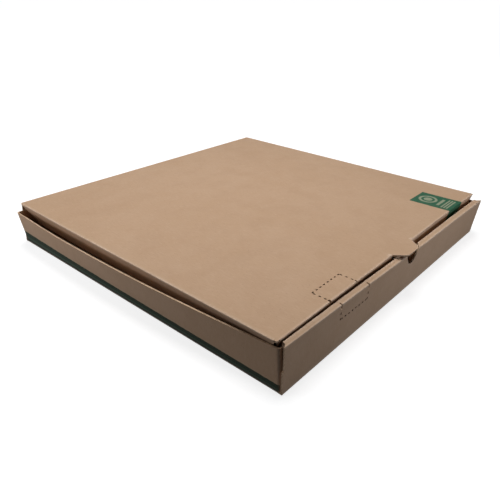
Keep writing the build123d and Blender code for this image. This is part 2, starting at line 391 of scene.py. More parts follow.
@dataclass(frozen=True)
class TabCut(Outline):
    """Outline of a tab that stands out from a panel, which starts at a station."""

    panel: float = 0.0

    def inside(self, where: Array) -> Array:
        """Which points are board: the panel, the tab, and all that lies further to the sides."""
        beside = np.abs(where[..., 0] - self.points[:, 0].mean()) > 40
        return (where[..., 1] > self.panel) | super().inside(where) | beside


def grid_lines(low: float, high: float, step: float, extra: Sequence[Array | float] = (),
               fine: Sequence[tuple[float, float, float]] = ()) -> Array:
    """Grid lines from low to high, no further apart than a step.

    Args:
        low: First line.
        high: Last line.
        step: Largest distance between lines.
        extra: Values, or arrays of values, that each get a line.
        fine: Stretches (low, high, step) with lines closer together.

    Returns:
        The lines in order, with those closer than 0.02 mm to a kept one left out.
    """
    must = [np.array([low, high])] + [np.atleast_1d(np.asarray(value, float)) for value in extra]
    for start, end, gap in fine:
        must.append(np.linspace(start, end, max(2, round((end - start) / gap) + 1)))
    line = np.unique(np.concatenate(must))
    line = line[(line >= low - 1e-6) & (line <= high + 1e-6)]
    line = line[np.concatenate([[True], np.diff(line) > 0.02])]
    parts = [np.linspace(a, b, max(2, math.ceil((b - a) / step) + 1))[:-1] for a, b in zip(line, line[1:])]
    return np.concatenate(parts + [line[-1:]])


def ripple(u: Array, v: Array, size: float, seed: float) -> Array:
    """Smooth unevenness between -1 and 1: three sines of u and v that run in different directions.

    Args:
        u: First sheet coordinate.
        v: Second sheet coordinate.
        size: Length of the unevenness, in the coordinates' unit.
        seed: Shifts the pattern.

    Returns:
        The values at each point.
    """
    k = 2 * math.pi / size
    waves = np.sin(k * u + 1.7 * seed) + np.sin(k * (0.6 * v - 0.5 * u) + 4.1 * seed)
    return (waves + np.sin(k * (0.8 * v + 0.3 * u) + 2.3 * seed)) / 3


# Sheets of board


@dataclass
class Sheet:
    """A bent sheet: a profile at each end of a straight run, with lines ruled between them."""

    run: Run
    first: Profile
    last: Profile
    span: tuple[float, float]
    u_lines: Array
    v_lines: Array
    thickness: float
    outside_left: bool = True
    flutes_along_u: bool = True
    keep: Callable[[Array, Array], Array] | None = None
    cuts: Sequence[tuple[Outline, bool]] = ()
    slits: Sequence[tuple[float, float, float, float]] = ()
    move: Callable[[Array, Array], tuple[Array, Array]] | None = None
    lift: Callable[[Array, Array], Array] | None = None
    push: Callable[[Array, Array], Array] | None = None
    creases: Sequence[float] = ()

    def _cells(self, grid_u: Array, grid_v: Array) -> tuple[Array, Array, Array, Array]:
        """Picks the cells that are board and brings the grid onto the curved outlines.

        A cell is board where its centre is. A grid point between board and a cell that an outline
        cut away moves to the nearest point of that outline.

        Args:
            grid_u: First sheet coordinate of each grid point.
            grid_v: Second sheet coordinate of each grid point.

        Returns:
            The cells' truth values, the two moved grids, and which grid points lie on an outline.
        """
        u = (self.u_lines[1:] + self.u_lines[:-1]) / 2
        v = (self.v_lines[1:] + self.v_lines[:-1]) / 2
        mid_u, mid_v = np.meshgrid(u, v, indexing="ij")
        cells = np.ones(mid_u.shape, bool) if self.keep is None else self.keep(mid_u, mid_v)
        for low_u, high_u, low_v, high_v in self.slits:
            cells &= ~((mid_u > low_u) & (mid_u < high_u) & (mid_v > low_v) & (mid_v < high_v))
        centres = np.stack([mid_u, mid_v], axis=-1)
        rim = np.zeros(grid_u.shape, bool)
        for outline, is_hole in self.cuts:
            low, high = outline.points.min(axis=0) - 3, outline.points.max(axis=0) + 3
            near = ((centres > low) & (centres < high)).all(axis=-1)
            gone = np.zeros(cells.shape, bool)
            gone[near] = outline.inside(centres[near]) == is_hole
            gone &= cells
            cells &= ~gone
            edge = touching(gone) & touching(cells)
            rim |= edge
            where = np.stack([grid_u[edge], grid_v[edge]], axis=1)
            if len(where):
                foot = outline.nearest(where)
                grid_u[edge], grid_v[edge] = foot[:, 0], foot[:, 1]
        return cells, grid_u, grid_v, rim

    def _surface(self, grid_u: Array, grid_v: Array) -> tuple[Array, Array, Array]:
        """Middle surface, its left normal and the outer liner's bulge at each grid point.

        Each point is (1-t) A(v) + t B(v), with t the share of the run and A and B the profiles at
        its ends, so the lines along the run are straight.

        Args:
            grid_u: First sheet coordinate, along the run.
            grid_v: Second sheet coordinate, a station of the profiles.

        Returns:
            Places and unit normals, each of shape (rows, columns, 3), and bulges.
        """
        station = (self.first.station + self.last.station) / 2
        share = ((grid_u - self.span[0]) / (self.span[1] - self.span[0]))[..., None]
        ends = []
        for profile in (self.first, self.last):
            columns = np.hstack([profile.point, profile.normal, profile.bulge[:, None]]).T
            ends.append(np.stack([np.interp(grid_v, station, column) for column in columns], axis=-1))
        mixed = (1 - share) * ends[0] + share * ends[1]
        along, a, b = self.run.value
        place = np.zeros(grid_u.shape + (3,))
        normal = np.zeros_like(place)
        place[..., along] = grid_u
        place[..., a], place[..., b] = mixed[..., 0], mixed[..., 1]
        if self.push is not None:
            place[..., a] += self.push(grid_u, grid_v)
        normal[..., a], normal[..., b] = mixed[..., 2], mixed[..., 3]
        normal /= np.linalg.norm(normal, axis=-1, keepdims=True)
        if self.lift is not None:
            place += normal * self.lift(grid_u, grid_v)[..., None]
        return place, normal, mixed[..., 4]

    def build(self) -> Pieces:
        """Closed mesh of the sheet: both liners, and a wall along every border of its cells."""
        grid_u, grid_v = np.meshgrid(self.u_lines, self.v_lines, indexing="ij")
        cells, grid_u, grid_v, rim = self._cells(grid_u.copy(), grid_v.copy())
        sheet_u, sheet_v = grid_u.copy(), grid_v.copy()
        if self.move is not None:
            grid_u, grid_v = self.move(grid_u, grid_v)
        place, normal, bulge = self._surface(grid_u, grid_v)
        rows, columns = grid_u.shape
        index = np.arange(rows * columns).reshape(rows, columns)
        i, j = np.nonzero(cells)
        corner = np.stack([index[i, j], index[i + 1, j], index[i + 1, j + 1], index[i, j + 1]], axis=1)
        flat = place.reshape(-1, 3)
        a, b, d = flat[corner[:, 0]], flat[corner[:, 1]], flat[corner[:, 3]]
        facing = (np.cross(b - a, d - a) * normal.reshape(-1, 3)[corner[:, 0]]).sum()
        ring = corner if facing > 0 else corner[:, ::-1]
        count = rows * columns
        out, bulge = normal.reshape(-1, 3), bulge.reshape(-1, 1)
        above, below = self.thickness / 2 + bulge.clip(0), self.thickness / 2 + (-bulge).clip(0)
        points = np.vstack([flat + out * above, flat - out * below])
        borders, across = self._borders(cells, index)
        walls = np.stack([borders[:, 1], borders[:, 0], borders[:, 0] + count, borders[:, 1] + count], axis=1)
        if facing <= 0:
            walls = walls[:, ::-1]
        quads = np.vstack([ring, ring[:, ::-1] + count, walls])
        sides = (Face.OUTSIDE, Face.INSIDE) if self.outside_left else (Face.INSIDE, Face.OUTSIDE)
        slot = np.concatenate([np.full(len(ring), side.value) for side in sides] + [across])
        sheet = np.stack([sheet_u.ravel(), sheet_v.ravel()], axis=1)
        loops = np.vstack([sheet, sheet])[quads]
        edge_uv = loops[len(ring) * 2:]
        turned = np.abs(edge_uv[:, 0, 1] - edge_uv[:, 1, 1]) > np.abs(edge_uv[:, 0, 0] - edge_uv[:, 1, 0])
        run_along = np.where(turned[:, None], edge_uv[..., 1], edge_uv[..., 0])
        side = (walls >= count).astype(float) * self.thickness
        loops[len(ring) * 2:] = np.stack([run_along, side], axis=-1)
        if not self.flutes_along_u:
            loops[:len(ring) * 2] = loops[:len(ring) * 2, :, ::-1]
        # Share of rubbed wear and painted highlight at each grid point, along creases and cut rims.
        wear_and_highlight = self._wear_and_highlight(sheet_u, sheet_v, rim)
        return Pieces(points, quads, slot, loops, np.tile(wear_and_highlight.ravel(), 2)).cleaned()

    def _borders(self, cells: Array, index: Array) -> tuple[Array, Array]:
        """Directed edges around the cells that are board, and the slot of the wall on each.

        Args:
            cells: Which cells are board.
            index: Number of each grid point.

        Returns:
            Pairs of points, in the turning sense of the cells, and slot numbers.
        """
        framed = np.pad(cells, 1)
        core = framed[1:-1, 1:-1]
        borders, slots = [], []
        along_u = Face.CLOSED_EDGE.value if self.flutes_along_u else Face.FLUTED_EDGE.value
        along_v = Face.FLUTED_EDGE.value if self.flutes_along_u else Face.CLOSED_EDGE.value
        plan = (
            (framed[1:-1, :-2], (0, 0), (1, 0), along_u),
            (framed[2:, 1:-1], (1, 0), (1, 1), along_v),
            (framed[1:-1, 2:], (1, 1), (0, 1), along_u),
            (framed[:-2, 1:-1], (0, 1), (0, 0), along_v),
        )
        for neighbour, start, end, slot in plan:
            i, j = np.nonzero(core & ~neighbour)
            first = index[i + start[0], j + start[1]]
            second = index[i + end[0], j + end[1]]
            borders.append(np.stack([first, second], axis=1))
            slots.append(np.full(len(i), slot))
        return np.vstack(borders), np.concatenate(slots)

    def _wear_and_highlight(self, grid_u: Array, grid_v: Array, rim: Array) -> Array:
        """Rubbed share of the liner and its painted highlight: a bell curve of the distance to each crease,
        and the rims.

        Args:
            grid_u: First sheet coordinate.
            grid_v: Second sheet coordinate.
            rim: Which grid points lie on a cut outline.

        Returns:
            Values from 0 to 1 at each grid point.
        """
        # Cut rims and creases get rubbed wear and a painted highlight, as a share towards the paler colour.
        wear_and_highlight = np.where(rim, 0.9, 0.0)
        for crease in self.creases:
            uneven = 0.75 + 0.25 * ripple(grid_u, grid_v, 47.0, crease)
            wear_and_highlight = np.maximum(wear_and_highlight, np.exp(-(((grid_v - crease) / 0.8) ** 2)) * uneven)
        return wear_and_highlight


def touching(cells: Array) -> Array:
    """Grid points that touch at least one of the marked cells: one more each way than the cells."""
    framed = np.pad(cells, 1)
    return framed[1:, 1:] | framed[:-1, 1:] | framed[1:, :-1] | framed[:-1, :-1]


@dataclass
class Pieces:
    """Vertices, quads, slots, sheet coordinates, and the share of rubbed wear and painted highlight, of one
    or more sheets.
    """

    points: Array
    quads: Array
    slots: Array
    sheet: Array
    wear_and_highlight: Array

    def cleaned(self) -> Pieces:
        """The same pieces without the vertices that no quad uses."""
        used = np.unique(self.quads)
        renumber = np.zeros(len(self.points), int)
        renumber[used] = np.arange(len(used))
        return Pieces(self.points[used], renumber[self.quads], self.slots, self.sheet, self.wear_and_highlight[used])

    @staticmethod
    def joined(parts: Sequence[Pieces]) -> Pieces:
        """All the pieces as one."""
        starts = np.cumsum([0] + [len(part.points) for part in parts[:-1]])
        return Pieces(
            np.vstack([part.points for part in parts]),
            np.vstack([part.quads + start for part, start in zip(parts, starts)]),
            np.concatenate([part.slots for part in parts]),
            np.concatenate([part.sheet for part in parts]),
            np.concatenate([part.wear_and_highlight for part in parts]),
        )

    def turned(self, angle: float, y: float, z: float) -> Pieces:
        """Turns the pieces about a line along X.

        Args:
            angle: Turn in degrees by the right-hand rule.
            y: The line's Y.
            z: The line's Z.

        Returns:
            The turned pieces.
        """
        spin = np.array(Matrix.Rotation(math.radians(angle), 3, "X"))
        pivot = np.array([0.0, y, z])
        return Pieces((self.points - pivot) @ spin.T + pivot, self.quads, self.slots, self.sheet, self.wear_and_highlight)

    def to_object(self, name: str, finishes: Sequence[bpy.types.Material]) -> bpy.types.Object:
        """Blender object of the pieces, in metres.

        Args:
            name: The object's name.
            finishes: One material for each member of Face.

        Returns:
            The object, linked to the scene.
        """
        mesh = bpy.data.meshes.new(name)
        mesh.vertices.add(len(self.points))
        mesh.vertices.foreach_set("co", (self.points * MM).astype(np.float32).ravel())
        mesh.loops.add(self.quads.size)
        mesh.loops.foreach_set("vertex_index", self.quads.astype(np.int32).ravel())
        mesh.polygons.add(len(self.quads))
        mesh.polygons.foreach_set("loop_start", np.arange(0, self.quads.size, 4, dtype=np.int32))
        mesh.polygons.foreach_set("material_index", self.slots.astype(np.int32))
        mesh.update(calc_edges=True)
        layer = mesh.uv_layers.new(name="sheet")
        layer.data.foreach_set("uv", (self.sheet * MM).astype(np.float32).ravel())
        # Share of rubbed wear and painted highlight, read by the liner's material.
        worn = mesh.attributes.new("wear_and_highlight", "FLOAT", "POINT")
        worn.data.foreach_set("value", self.wear_and_highlight.astype(np.float32))
        for finish in finishes:
            mesh.materials.append(finish)
        mesh.shade_smooth()
        mesh.set_sharp_from_angle(angle=math.radians(32))
        piece = bpy.data.objects.new(name, mesh)
        bpy.context.scene.collection.objects.link(piece)
        return piece


# Finishes


class NodeBench:
    """Builds a material's nodes."""

    def __init__(self, name: str) -> None:
        """Starts an empty material with an output node."""
        self.material = bpy.data.materials.new(name)
        self.material.use_nodes = True
        self.tree = self.material.node_tree
        self.tree.nodes.clear()
        self.output = self.tree.nodes.new("ShaderNodeOutputMaterial")

    def node(self, kind: str, inputs: dict | None = None, **settings: object) -> bpy.types.Node:
        """Adds a node.

        Args:
            kind: Its type, without the ShaderNode prefix.
            inputs: A value or a socket for each input, by name or number.
            settings: Its properties.

        Returns:
            The node.
        """
        made = self.tree.nodes.new("ShaderNode" + kind)
        for key, value in settings.items():
            setattr(made, key, value)
        for key, value in (inputs or {}).items():
            if isinstance(value, Socket):
                self.tree.links.new(value, made.inputs[key])
            else:
                made.inputs[key].default_value = value
        return made

    def math(self, kind: str, first: object, second: object = 0.0) -> Socket:
        """Result of a math node."""
        return self.node("Math", {0: first, 1: second}, operation=kind).outputs[0]

    def step(self, value: object, low: float, high: float, start: float = 0.0,
             end: float = 1.0) -> Socket:
        """Value mapped from low..high to start..end, and held there outside."""
        inputs = {"Value": value, "From Min": low, "From Max": high, "To Min": start, "To Max": end}
        return self.node("MapRange", inputs, interpolation_type="SMOOTHSTEP").outputs["Result"]

    def mix(self, share: object, first: object, second: object) -> Socket:
        """Colour mixed by a share."""
        made = self.tree.nodes.new("ShaderNodeMix")
        made.data_type = "RGBA"
        for socket, value in ((made.inputs[0], share), (made.inputs[6], first), (made.inputs[7], second)):
            if isinstance(value, Socket):
                self.tree.links.new(value, socket)
            else:
                socket.default_value = (*value, 1.0) if isinstance(value, tuple) else value
        return made.outputs[2]

    def noise(self, where: Socket, scale: float, detail: float = 2.0, rough: float = 0.5,
              stretch: tuple[float, float, float] = (1.0, 1.0, 1.0)) -> Socket:
        """Noise from 0 to 1, stretched along an axis where its factor is under 1."""
        if stretch != (1.0, 1.0, 1.0):
            where = self.node("Mapping", {"Vector": where, "Scale": stretch}).outputs[0]
        inputs = {"Vector": where, "Scale": scale, "Detail": detail, "Roughness": rough}
        return self.node("TexNoise", inputs).outputs["Fac"]

    def surface(self, inputs: dict) -> bpy.types.Material:
        """Ends the material with a principled shader."""
        shader = self.node("BsdfPrincipled", inputs)
        self.tree.links.new(shader.outputs[0], self.output.inputs["Surface"])
        return self.material


@dataclass(frozen=True)
class KraftLiner:
    """Brown kraft liner: cloudy tone, fibres, flecks, creases and cut rims that are rubbed and carry a
    painted highlight, and the flutes' faint ribs.
    """

    tone: Colour = linear(190, 157, 127)
    dark: Colour = linear(176, 143, 113)
    pale: Colour = linear(201, 170, 143)
    fleck: Colour = linear(128, 97, 72)
    # Paler colour of rubbed kraft, which also paints a highlight along creases and cut rims.
    rubbed_and_highlight: Colour = linear(218, 194, 170)
    roughness: float = 0.82
    flute_pitch: float = 0.0033
    band_tops: tuple[float, float] = (0.0, 0.0)
    band_ends: tuple[float, float] = (0.0, 0.0)
    band_side: float = 0.0
    ink: Colour = linear(32, 60, 48)
    ink_stripe: Colour = linear(60, 82, 70)
    # Darkest stripe at the foot: print with painted shade of the foot's contact shadow.
    ink_foot_and_shade: Colour = linear(22, 44, 37)

    def _colour(self, bench: NodeBench, where: Socket, sheet: Socket) -> Socket:
        """Colour of the bare liner.

        Args:
            bench: The material's nodes.
            where: Object coordinates.
            sheet: Sheet coordinates.

        Returns:
            The colour.
        """
        cloud = bench.noise(where, 11.0, 3.0, 0.55)
        colour = bench.mix(bench.step(cloud, 0.36, 0.64, 0.0, 0.22), self.tone, self.pale)
        patch = bench.noise(where, 34.0, 2.0, 0.5)
        colour = bench.mix(bench.step(patch, 0.42, 0.7, 0.0, 0.2), colour, self.dark)
        fibre = bench.noise(sheet, 900.0, 3.0, 0.65, (1.0, 0.16, 1.0))
        colour = bench.mix(bench.step(fibre, 0.4, 0.72, 0.0, 0.3), colour, self.dark)
        pale_fibre = bench.noise(sheet, 620.0, 2.0, 0.6, (1.0, 0.2, 1.0))
        colour = bench.mix(bench.step(pale_fibre, 0.52, 0.74, 0.0, 0.35), colour, self.pale)
        fleck = bench.noise(sheet, 1500.0, 0.0, 0.5, (1.0, 0.5, 1.0))
        return bench.mix(bench.step(fleck, 0.77, 0.82, 0.0, 0.55), colour, self.fleck)

    def material(self, name: str) -> bpy.types.Material:
        """Material of the liner.

        Args:
            name: The material's name.

        Returns:
            The material.
        """
        bench = NodeBench(name)
        where = bench.node("TexCoord").outputs["Object"]
        sheet = bench.node("UVMap", uv_map="sheet").outputs[0]
        colour = self._colour(bench, where, sheet)
        rough = bench.step(bench.noise(where, 60.0), 0.3, 0.7, self.roughness - 0.05, self.roughness + 0.06)
        if max(self.band_tops) > 0:
            colour = self._printed(bench, colour, where, sheet)
        # Rubbed wear and a painted highlight along creases and cut rims, mixed towards the paler colour.
        wear_and_highlight = bench.node("Attribute", attribute_name="wear_and_highlight").outputs["Fac"]
        patchy = bench.step(bench.noise(where, 420.0, 3.0, 0.7), 0.3, 0.6, 0.35, 1.0)
        scuff_and_highlight = bench.math("MULTIPLY", wear_and_highlight, patchy)
        colour = bench.mix(bench.math("MULTIPLY", scuff_and_highlight, 0.8), colour, self.rubbed_and_highlight)
        grain = bench.noise(sheet, 1300.0, 3.0, 0.7, (1.0, 0.3, 1.0))
        split = bench.node("SeparateXYZ", {0: sheet})
        turns = bench.math("MULTIPLY", split.outputs[1], 2 * math.pi / self.flute_pitch)
        ribs = bench.math("SINE", turns)
        bump = bench.node("Bump", {"Height": ribs, "Strength": 0.16, "Distance": 0.00006})
        inputs = {"Height": grain, "Strength": 0.35, "Distance": 0.0001, "Normal": bump.outputs[0]}
        bump = bench.node("Bump", inputs)
        shader = {"Base Color": colour, "Roughness": rough, "Specular IOR Level": 0.28}
        return bench.surface({**shader, "Normal": bump.outputs[0]})

    def _printed(self, bench: NodeBench, colour: Socket, where: Socket, sheet: Socket) -> Socket:
        """Liner with a printed band of three stripes along the foot of the wall.

        The ink covers Z under the band's top, which rises evenly from its front end to its rear end,
        with a slightly uneven rim, and the fibres show through it. The middle stripe lies from 0.27
        to 0.52 of the height, and the darker stripe under it is print with painted shade of the
        foot's contact shadow. X past the band's side stays bare, so that the underside is.

        Args:
            bench: The material's nodes.
            colour: Colour of the bare liner.
            where: Object coordinates.
            sheet: Sheet coordinates.

        Returns:
            The printed colour.
        """
        split = bench.node("SeparateXYZ", {0: where})
        rim = bench.step(bench.noise(where, 260.0, 2.0), 0.3, 0.7, -0.012, 0.012)
        low, high = self.band_ends
        along = {"Value": split.outputs[1], "From Min": low, "From Max": high}
        along.update({"To Min": self.band_tops[0], "To Max": self.band_tops[1]})
        whole = bench.node("MapRange", along).outputs["Result"]
        share = bench.math("ADD", bench.math("DIVIDE", split.outputs[2], whole), rim)
        top = bench.step(share, 0.98, 1.02, 1.0, 0.0)
        side = bench.step(split.outputs[0], self.band_side - 0.0003, self.band_side + 0.0003, 1.0, 0.0)
        start = bench.step(split.outputs[1], low - 0.0004, low + 0.0004)
        end = bench.step(split.outputs[1], high - 0.0004, high + 0.0004, 1.0, 0.0)
        cover = bench.math("MULTIPLY", bench.math("MULTIPLY", top, side), bench.math("MULTIPLY", start, end))
        thin = bench.step(bench.noise(sheet, 700.0, 3.0, 0.7), 0.3, 0.75, 0.98, 0.86)
        # Below the middle stripe, darker ink that also paints the foot's contact shade.
        ink = bench.mix(bench.step(share, 0.24, 0.3), self.ink_foot_and_shade, self.ink_stripe)
        ink = bench.mix(bench.step(share, 0.49, 0.55), ink, self.ink)
        return bench.mix(bench.math("MULTIPLY", cover, thin), colour, ink)


@dataclass(frozen=True)
class RawEdge:
    """Cut edge of the board: two liners with a painted highlight, and between them the wave or the side of a
    flute, with painted shade in the gaps.
    """

    # Pale liner edge: the kraft's own tone, lightened as a painted highlight.
    liner: Colour = linear(208, 179, 149)
    # Painted shade in the gaps between the liners and the medium.
    hollow_shade: Colour = linear(142, 112, 85)
    fluted: bool = True
    pitch: float = 0.0033
    thickness: float = 0.0016

    def material(self, name: str) -> bpy.types.Material:
        """Material of the edge.

        The edge's sheet coordinates are its length and the depth through the board. The medium is
        pale where the depth is near the middle plus 0.3 of the thickness times a sine of the length.
        Where it is not paper, the hollow colour paints the shade between the liners.

        Args:
            name: The material's name.

        Returns:
            The material.
        """
        bench = NodeBench(name)
        sheet = bench.node("UVMap", uv_map="sheet").outputs[0]
        where = bench.node("TexCoord").outputs["Object"]
        split = bench.node("SeparateXYZ", {0: sheet})
        depth = bench.math("DIVIDE", split.outputs[1], self.thickness)
        from_middle = bench.math("SUBTRACT", depth, 0.5)
        skin = bench.step(bench.math("ABSOLUTE", from_middle), 0.34, 0.42)
        if self.fluted:
            turns = bench.math("MULTIPLY", split.outputs[0], 2 * math.pi / self.pitch)
            wave = bench.math("MULTIPLY", bench.math("SINE", turns), 0.3)
            gap = bench.math("ABSOLUTE", bench.math("SUBTRACT", from_middle, wave))
            paper = bench.math("MAXIMUM", skin, bench.step(gap, 0.08, 0.2, 1.0, 0.0))
        else:
            blotch = bench.noise(where, 300.0, 2.0, 0.6)
            paper = bench.math("MAXIMUM", skin, bench.step(blotch, 0.38, 0.6, 0.45, 1.0))
        crushed = bench.step(bench.noise(where, 180.0, 3.0, 0.6), 0.35, 0.7, 0.15, 0.75)
        paper = bench.math("MAXIMUM", paper, crushed)
        # Mixes the painted shade of the gaps with the pale liners' painted highlight.
        colour = bench.mix(paper, self.hollow_shade, self.liner)
        bump = bench.node("Bump", {"Height": paper, "Strength": 0.5, "Distance": 0.0002})
        shader = {"Base Color": colour, "Roughness": 0.9, "Specular IOR Level": 0.2}
        return bench.surface({**shader, "Normal": bump.outputs[0]})


@dataclass(frozen=True)
class LabelPrint:
    """Green printed label with pale shapes: a disc in a ring, a bar and three strokes."""

    ink: Colour = linear(52, 98, 72)
    deep: Colour = linear(34, 92, 64)
    cream: Colour = linear(160, 163, 136)
    soft: float = 0.0002
    middle: float = 0.0187
    ring_down: float = 0.0158
    rings: tuple[tuple[float, float], ...] = ((0.0098, 0.0015), (0.0, 0.0052))
    bars: tuple[tuple[float, float, float], ...] = (
        (0.0322, 0.0105, 0.0018),
        (0.0383, 0.0142, 0.0009),
        (0.0416, 0.0142, 0.0009),
        (0.0449, 0.0142, 0.0009),
    )

    def material(self, name: str) -> bpy.types.Material:
        """Material of the label.

        The shapes are drawn in the label's sheet coordinates in metres, X across and Y down to the
        crease, and all stand on one middle line. Each ring has a radius and half a stroke, and each
        bar its place down and its half sizes.

        Args:
            name: The material's name.

        Returns:
            The material.
        """
        bench = NodeBench(name)
        sheet = bench.node("UVMap", uv_map="sheet").outputs[0]
        split = bench.node("SeparateXYZ", {0: sheet})
        across, down = split.outputs[0], split.outputs[1]
        aside = bench.math("SUBTRACT", across, self.middle)
        drawn = [self._ring(bench, aside, bench.math("SUBTRACT", down, self.ring_down), radius, half)
                 for radius, half in self.rings]
        drawn += [self._bar(bench, aside, bench.math("SUBTRACT", down, y), half_x, half_y)
                  for y, half_x, half_y in self.bars]
        shapes = drawn[0]
        for shape in drawn[1:]:
            shapes = bench.math("MAXIMUM", shapes, shape)
        worn = bench.step(bench.noise(sheet, 500.0, 3.0, 0.7), 0.3, 0.7, 0.7, 0.95)
        cloud = bench.step(bench.noise(sheet, 120.0, 2.0), 0.35, 0.65)
        colour = bench.mix(cloud, self.ink, self.deep)
        colour = bench.mix(bench.math("MULTIPLY", shapes, worn), colour, self.cream)
        shader = {"Base Color": colour, "Roughness": 0.62, "Specular IOR Level": 0.35}
        return bench.surface(shader)

    def _ring(self, bench: NodeBench, dx: Socket, dy: Socket, radius: float, half: float) -> Socket:
        """Cover of a ring, by the distance to its circle."""
        square = bench.math("ADD", bench.math("MULTIPLY", dx, dx), bench.math("MULTIPLY", dy, dy))
        away = bench.math("ABSOLUTE", bench.math("SUBTRACT", bench.math("SQRT", square), radius))
        return bench.step(away, half - self.soft, half + self.soft, 1.0, 0.0)

    def _bar(self, bench: NodeBench, dx: Socket, dy: Socket, half_x: float, half_y: float) -> Socket:
        """Cover of a bar, by the larger of the distances past its half sizes."""
        past_x = bench.math("SUBTRACT", bench.math("ABSOLUTE", dx), half_x)
        past_y = bench.math("SUBTRACT", bench.math("ABSOLUTE", dy), half_y)
        return bench.step(bench.math("MAXIMUM", past_x, past_y), -self.soft, self.soft, 1.0, 0.0)


# Sub-assemblies


def board_slots(finishes: dict[str, bpy.types.Material]) -> list[bpy.types.Material]:
    """Material of each member of Face."""
    return [finishes[name] for name in ("liner", "liner", "fluted_edge", "closed_edge")]


@dataclass(frozen=True)
class TearOut:
    """Perforated tear-out across the front crease, on the lid and on the front wall."""

    width: float = 42.6
    lid_x: float = -108.0
    front_x: float = -98.9
    front_width: float = 45.0
    lid_depth: float = 18.4
    front_depth: float = 14.8
    dash: float = 2.4
    pitch: float = 5.7
    cut: float = 1.5

    @property
    def lid_sides(self) -> tuple[float, float]:
        """X of its two sides on the lid."""
        return self.lid_x - self.width / 2, self.lid_x + self.width / 2

    def dashes(self, length: float) -> Array:
        """Start and end of each dash along a side, centred on it: shape (count, 2)."""
        count = round((length - self.dash) / self.pitch) + 1
        first = (length - (count - 1) * self.pitch - self.dash) / 2
        start = first + np.arange(count) * self.pitch
        return np.stack([start, start + self.dash], axis=1)


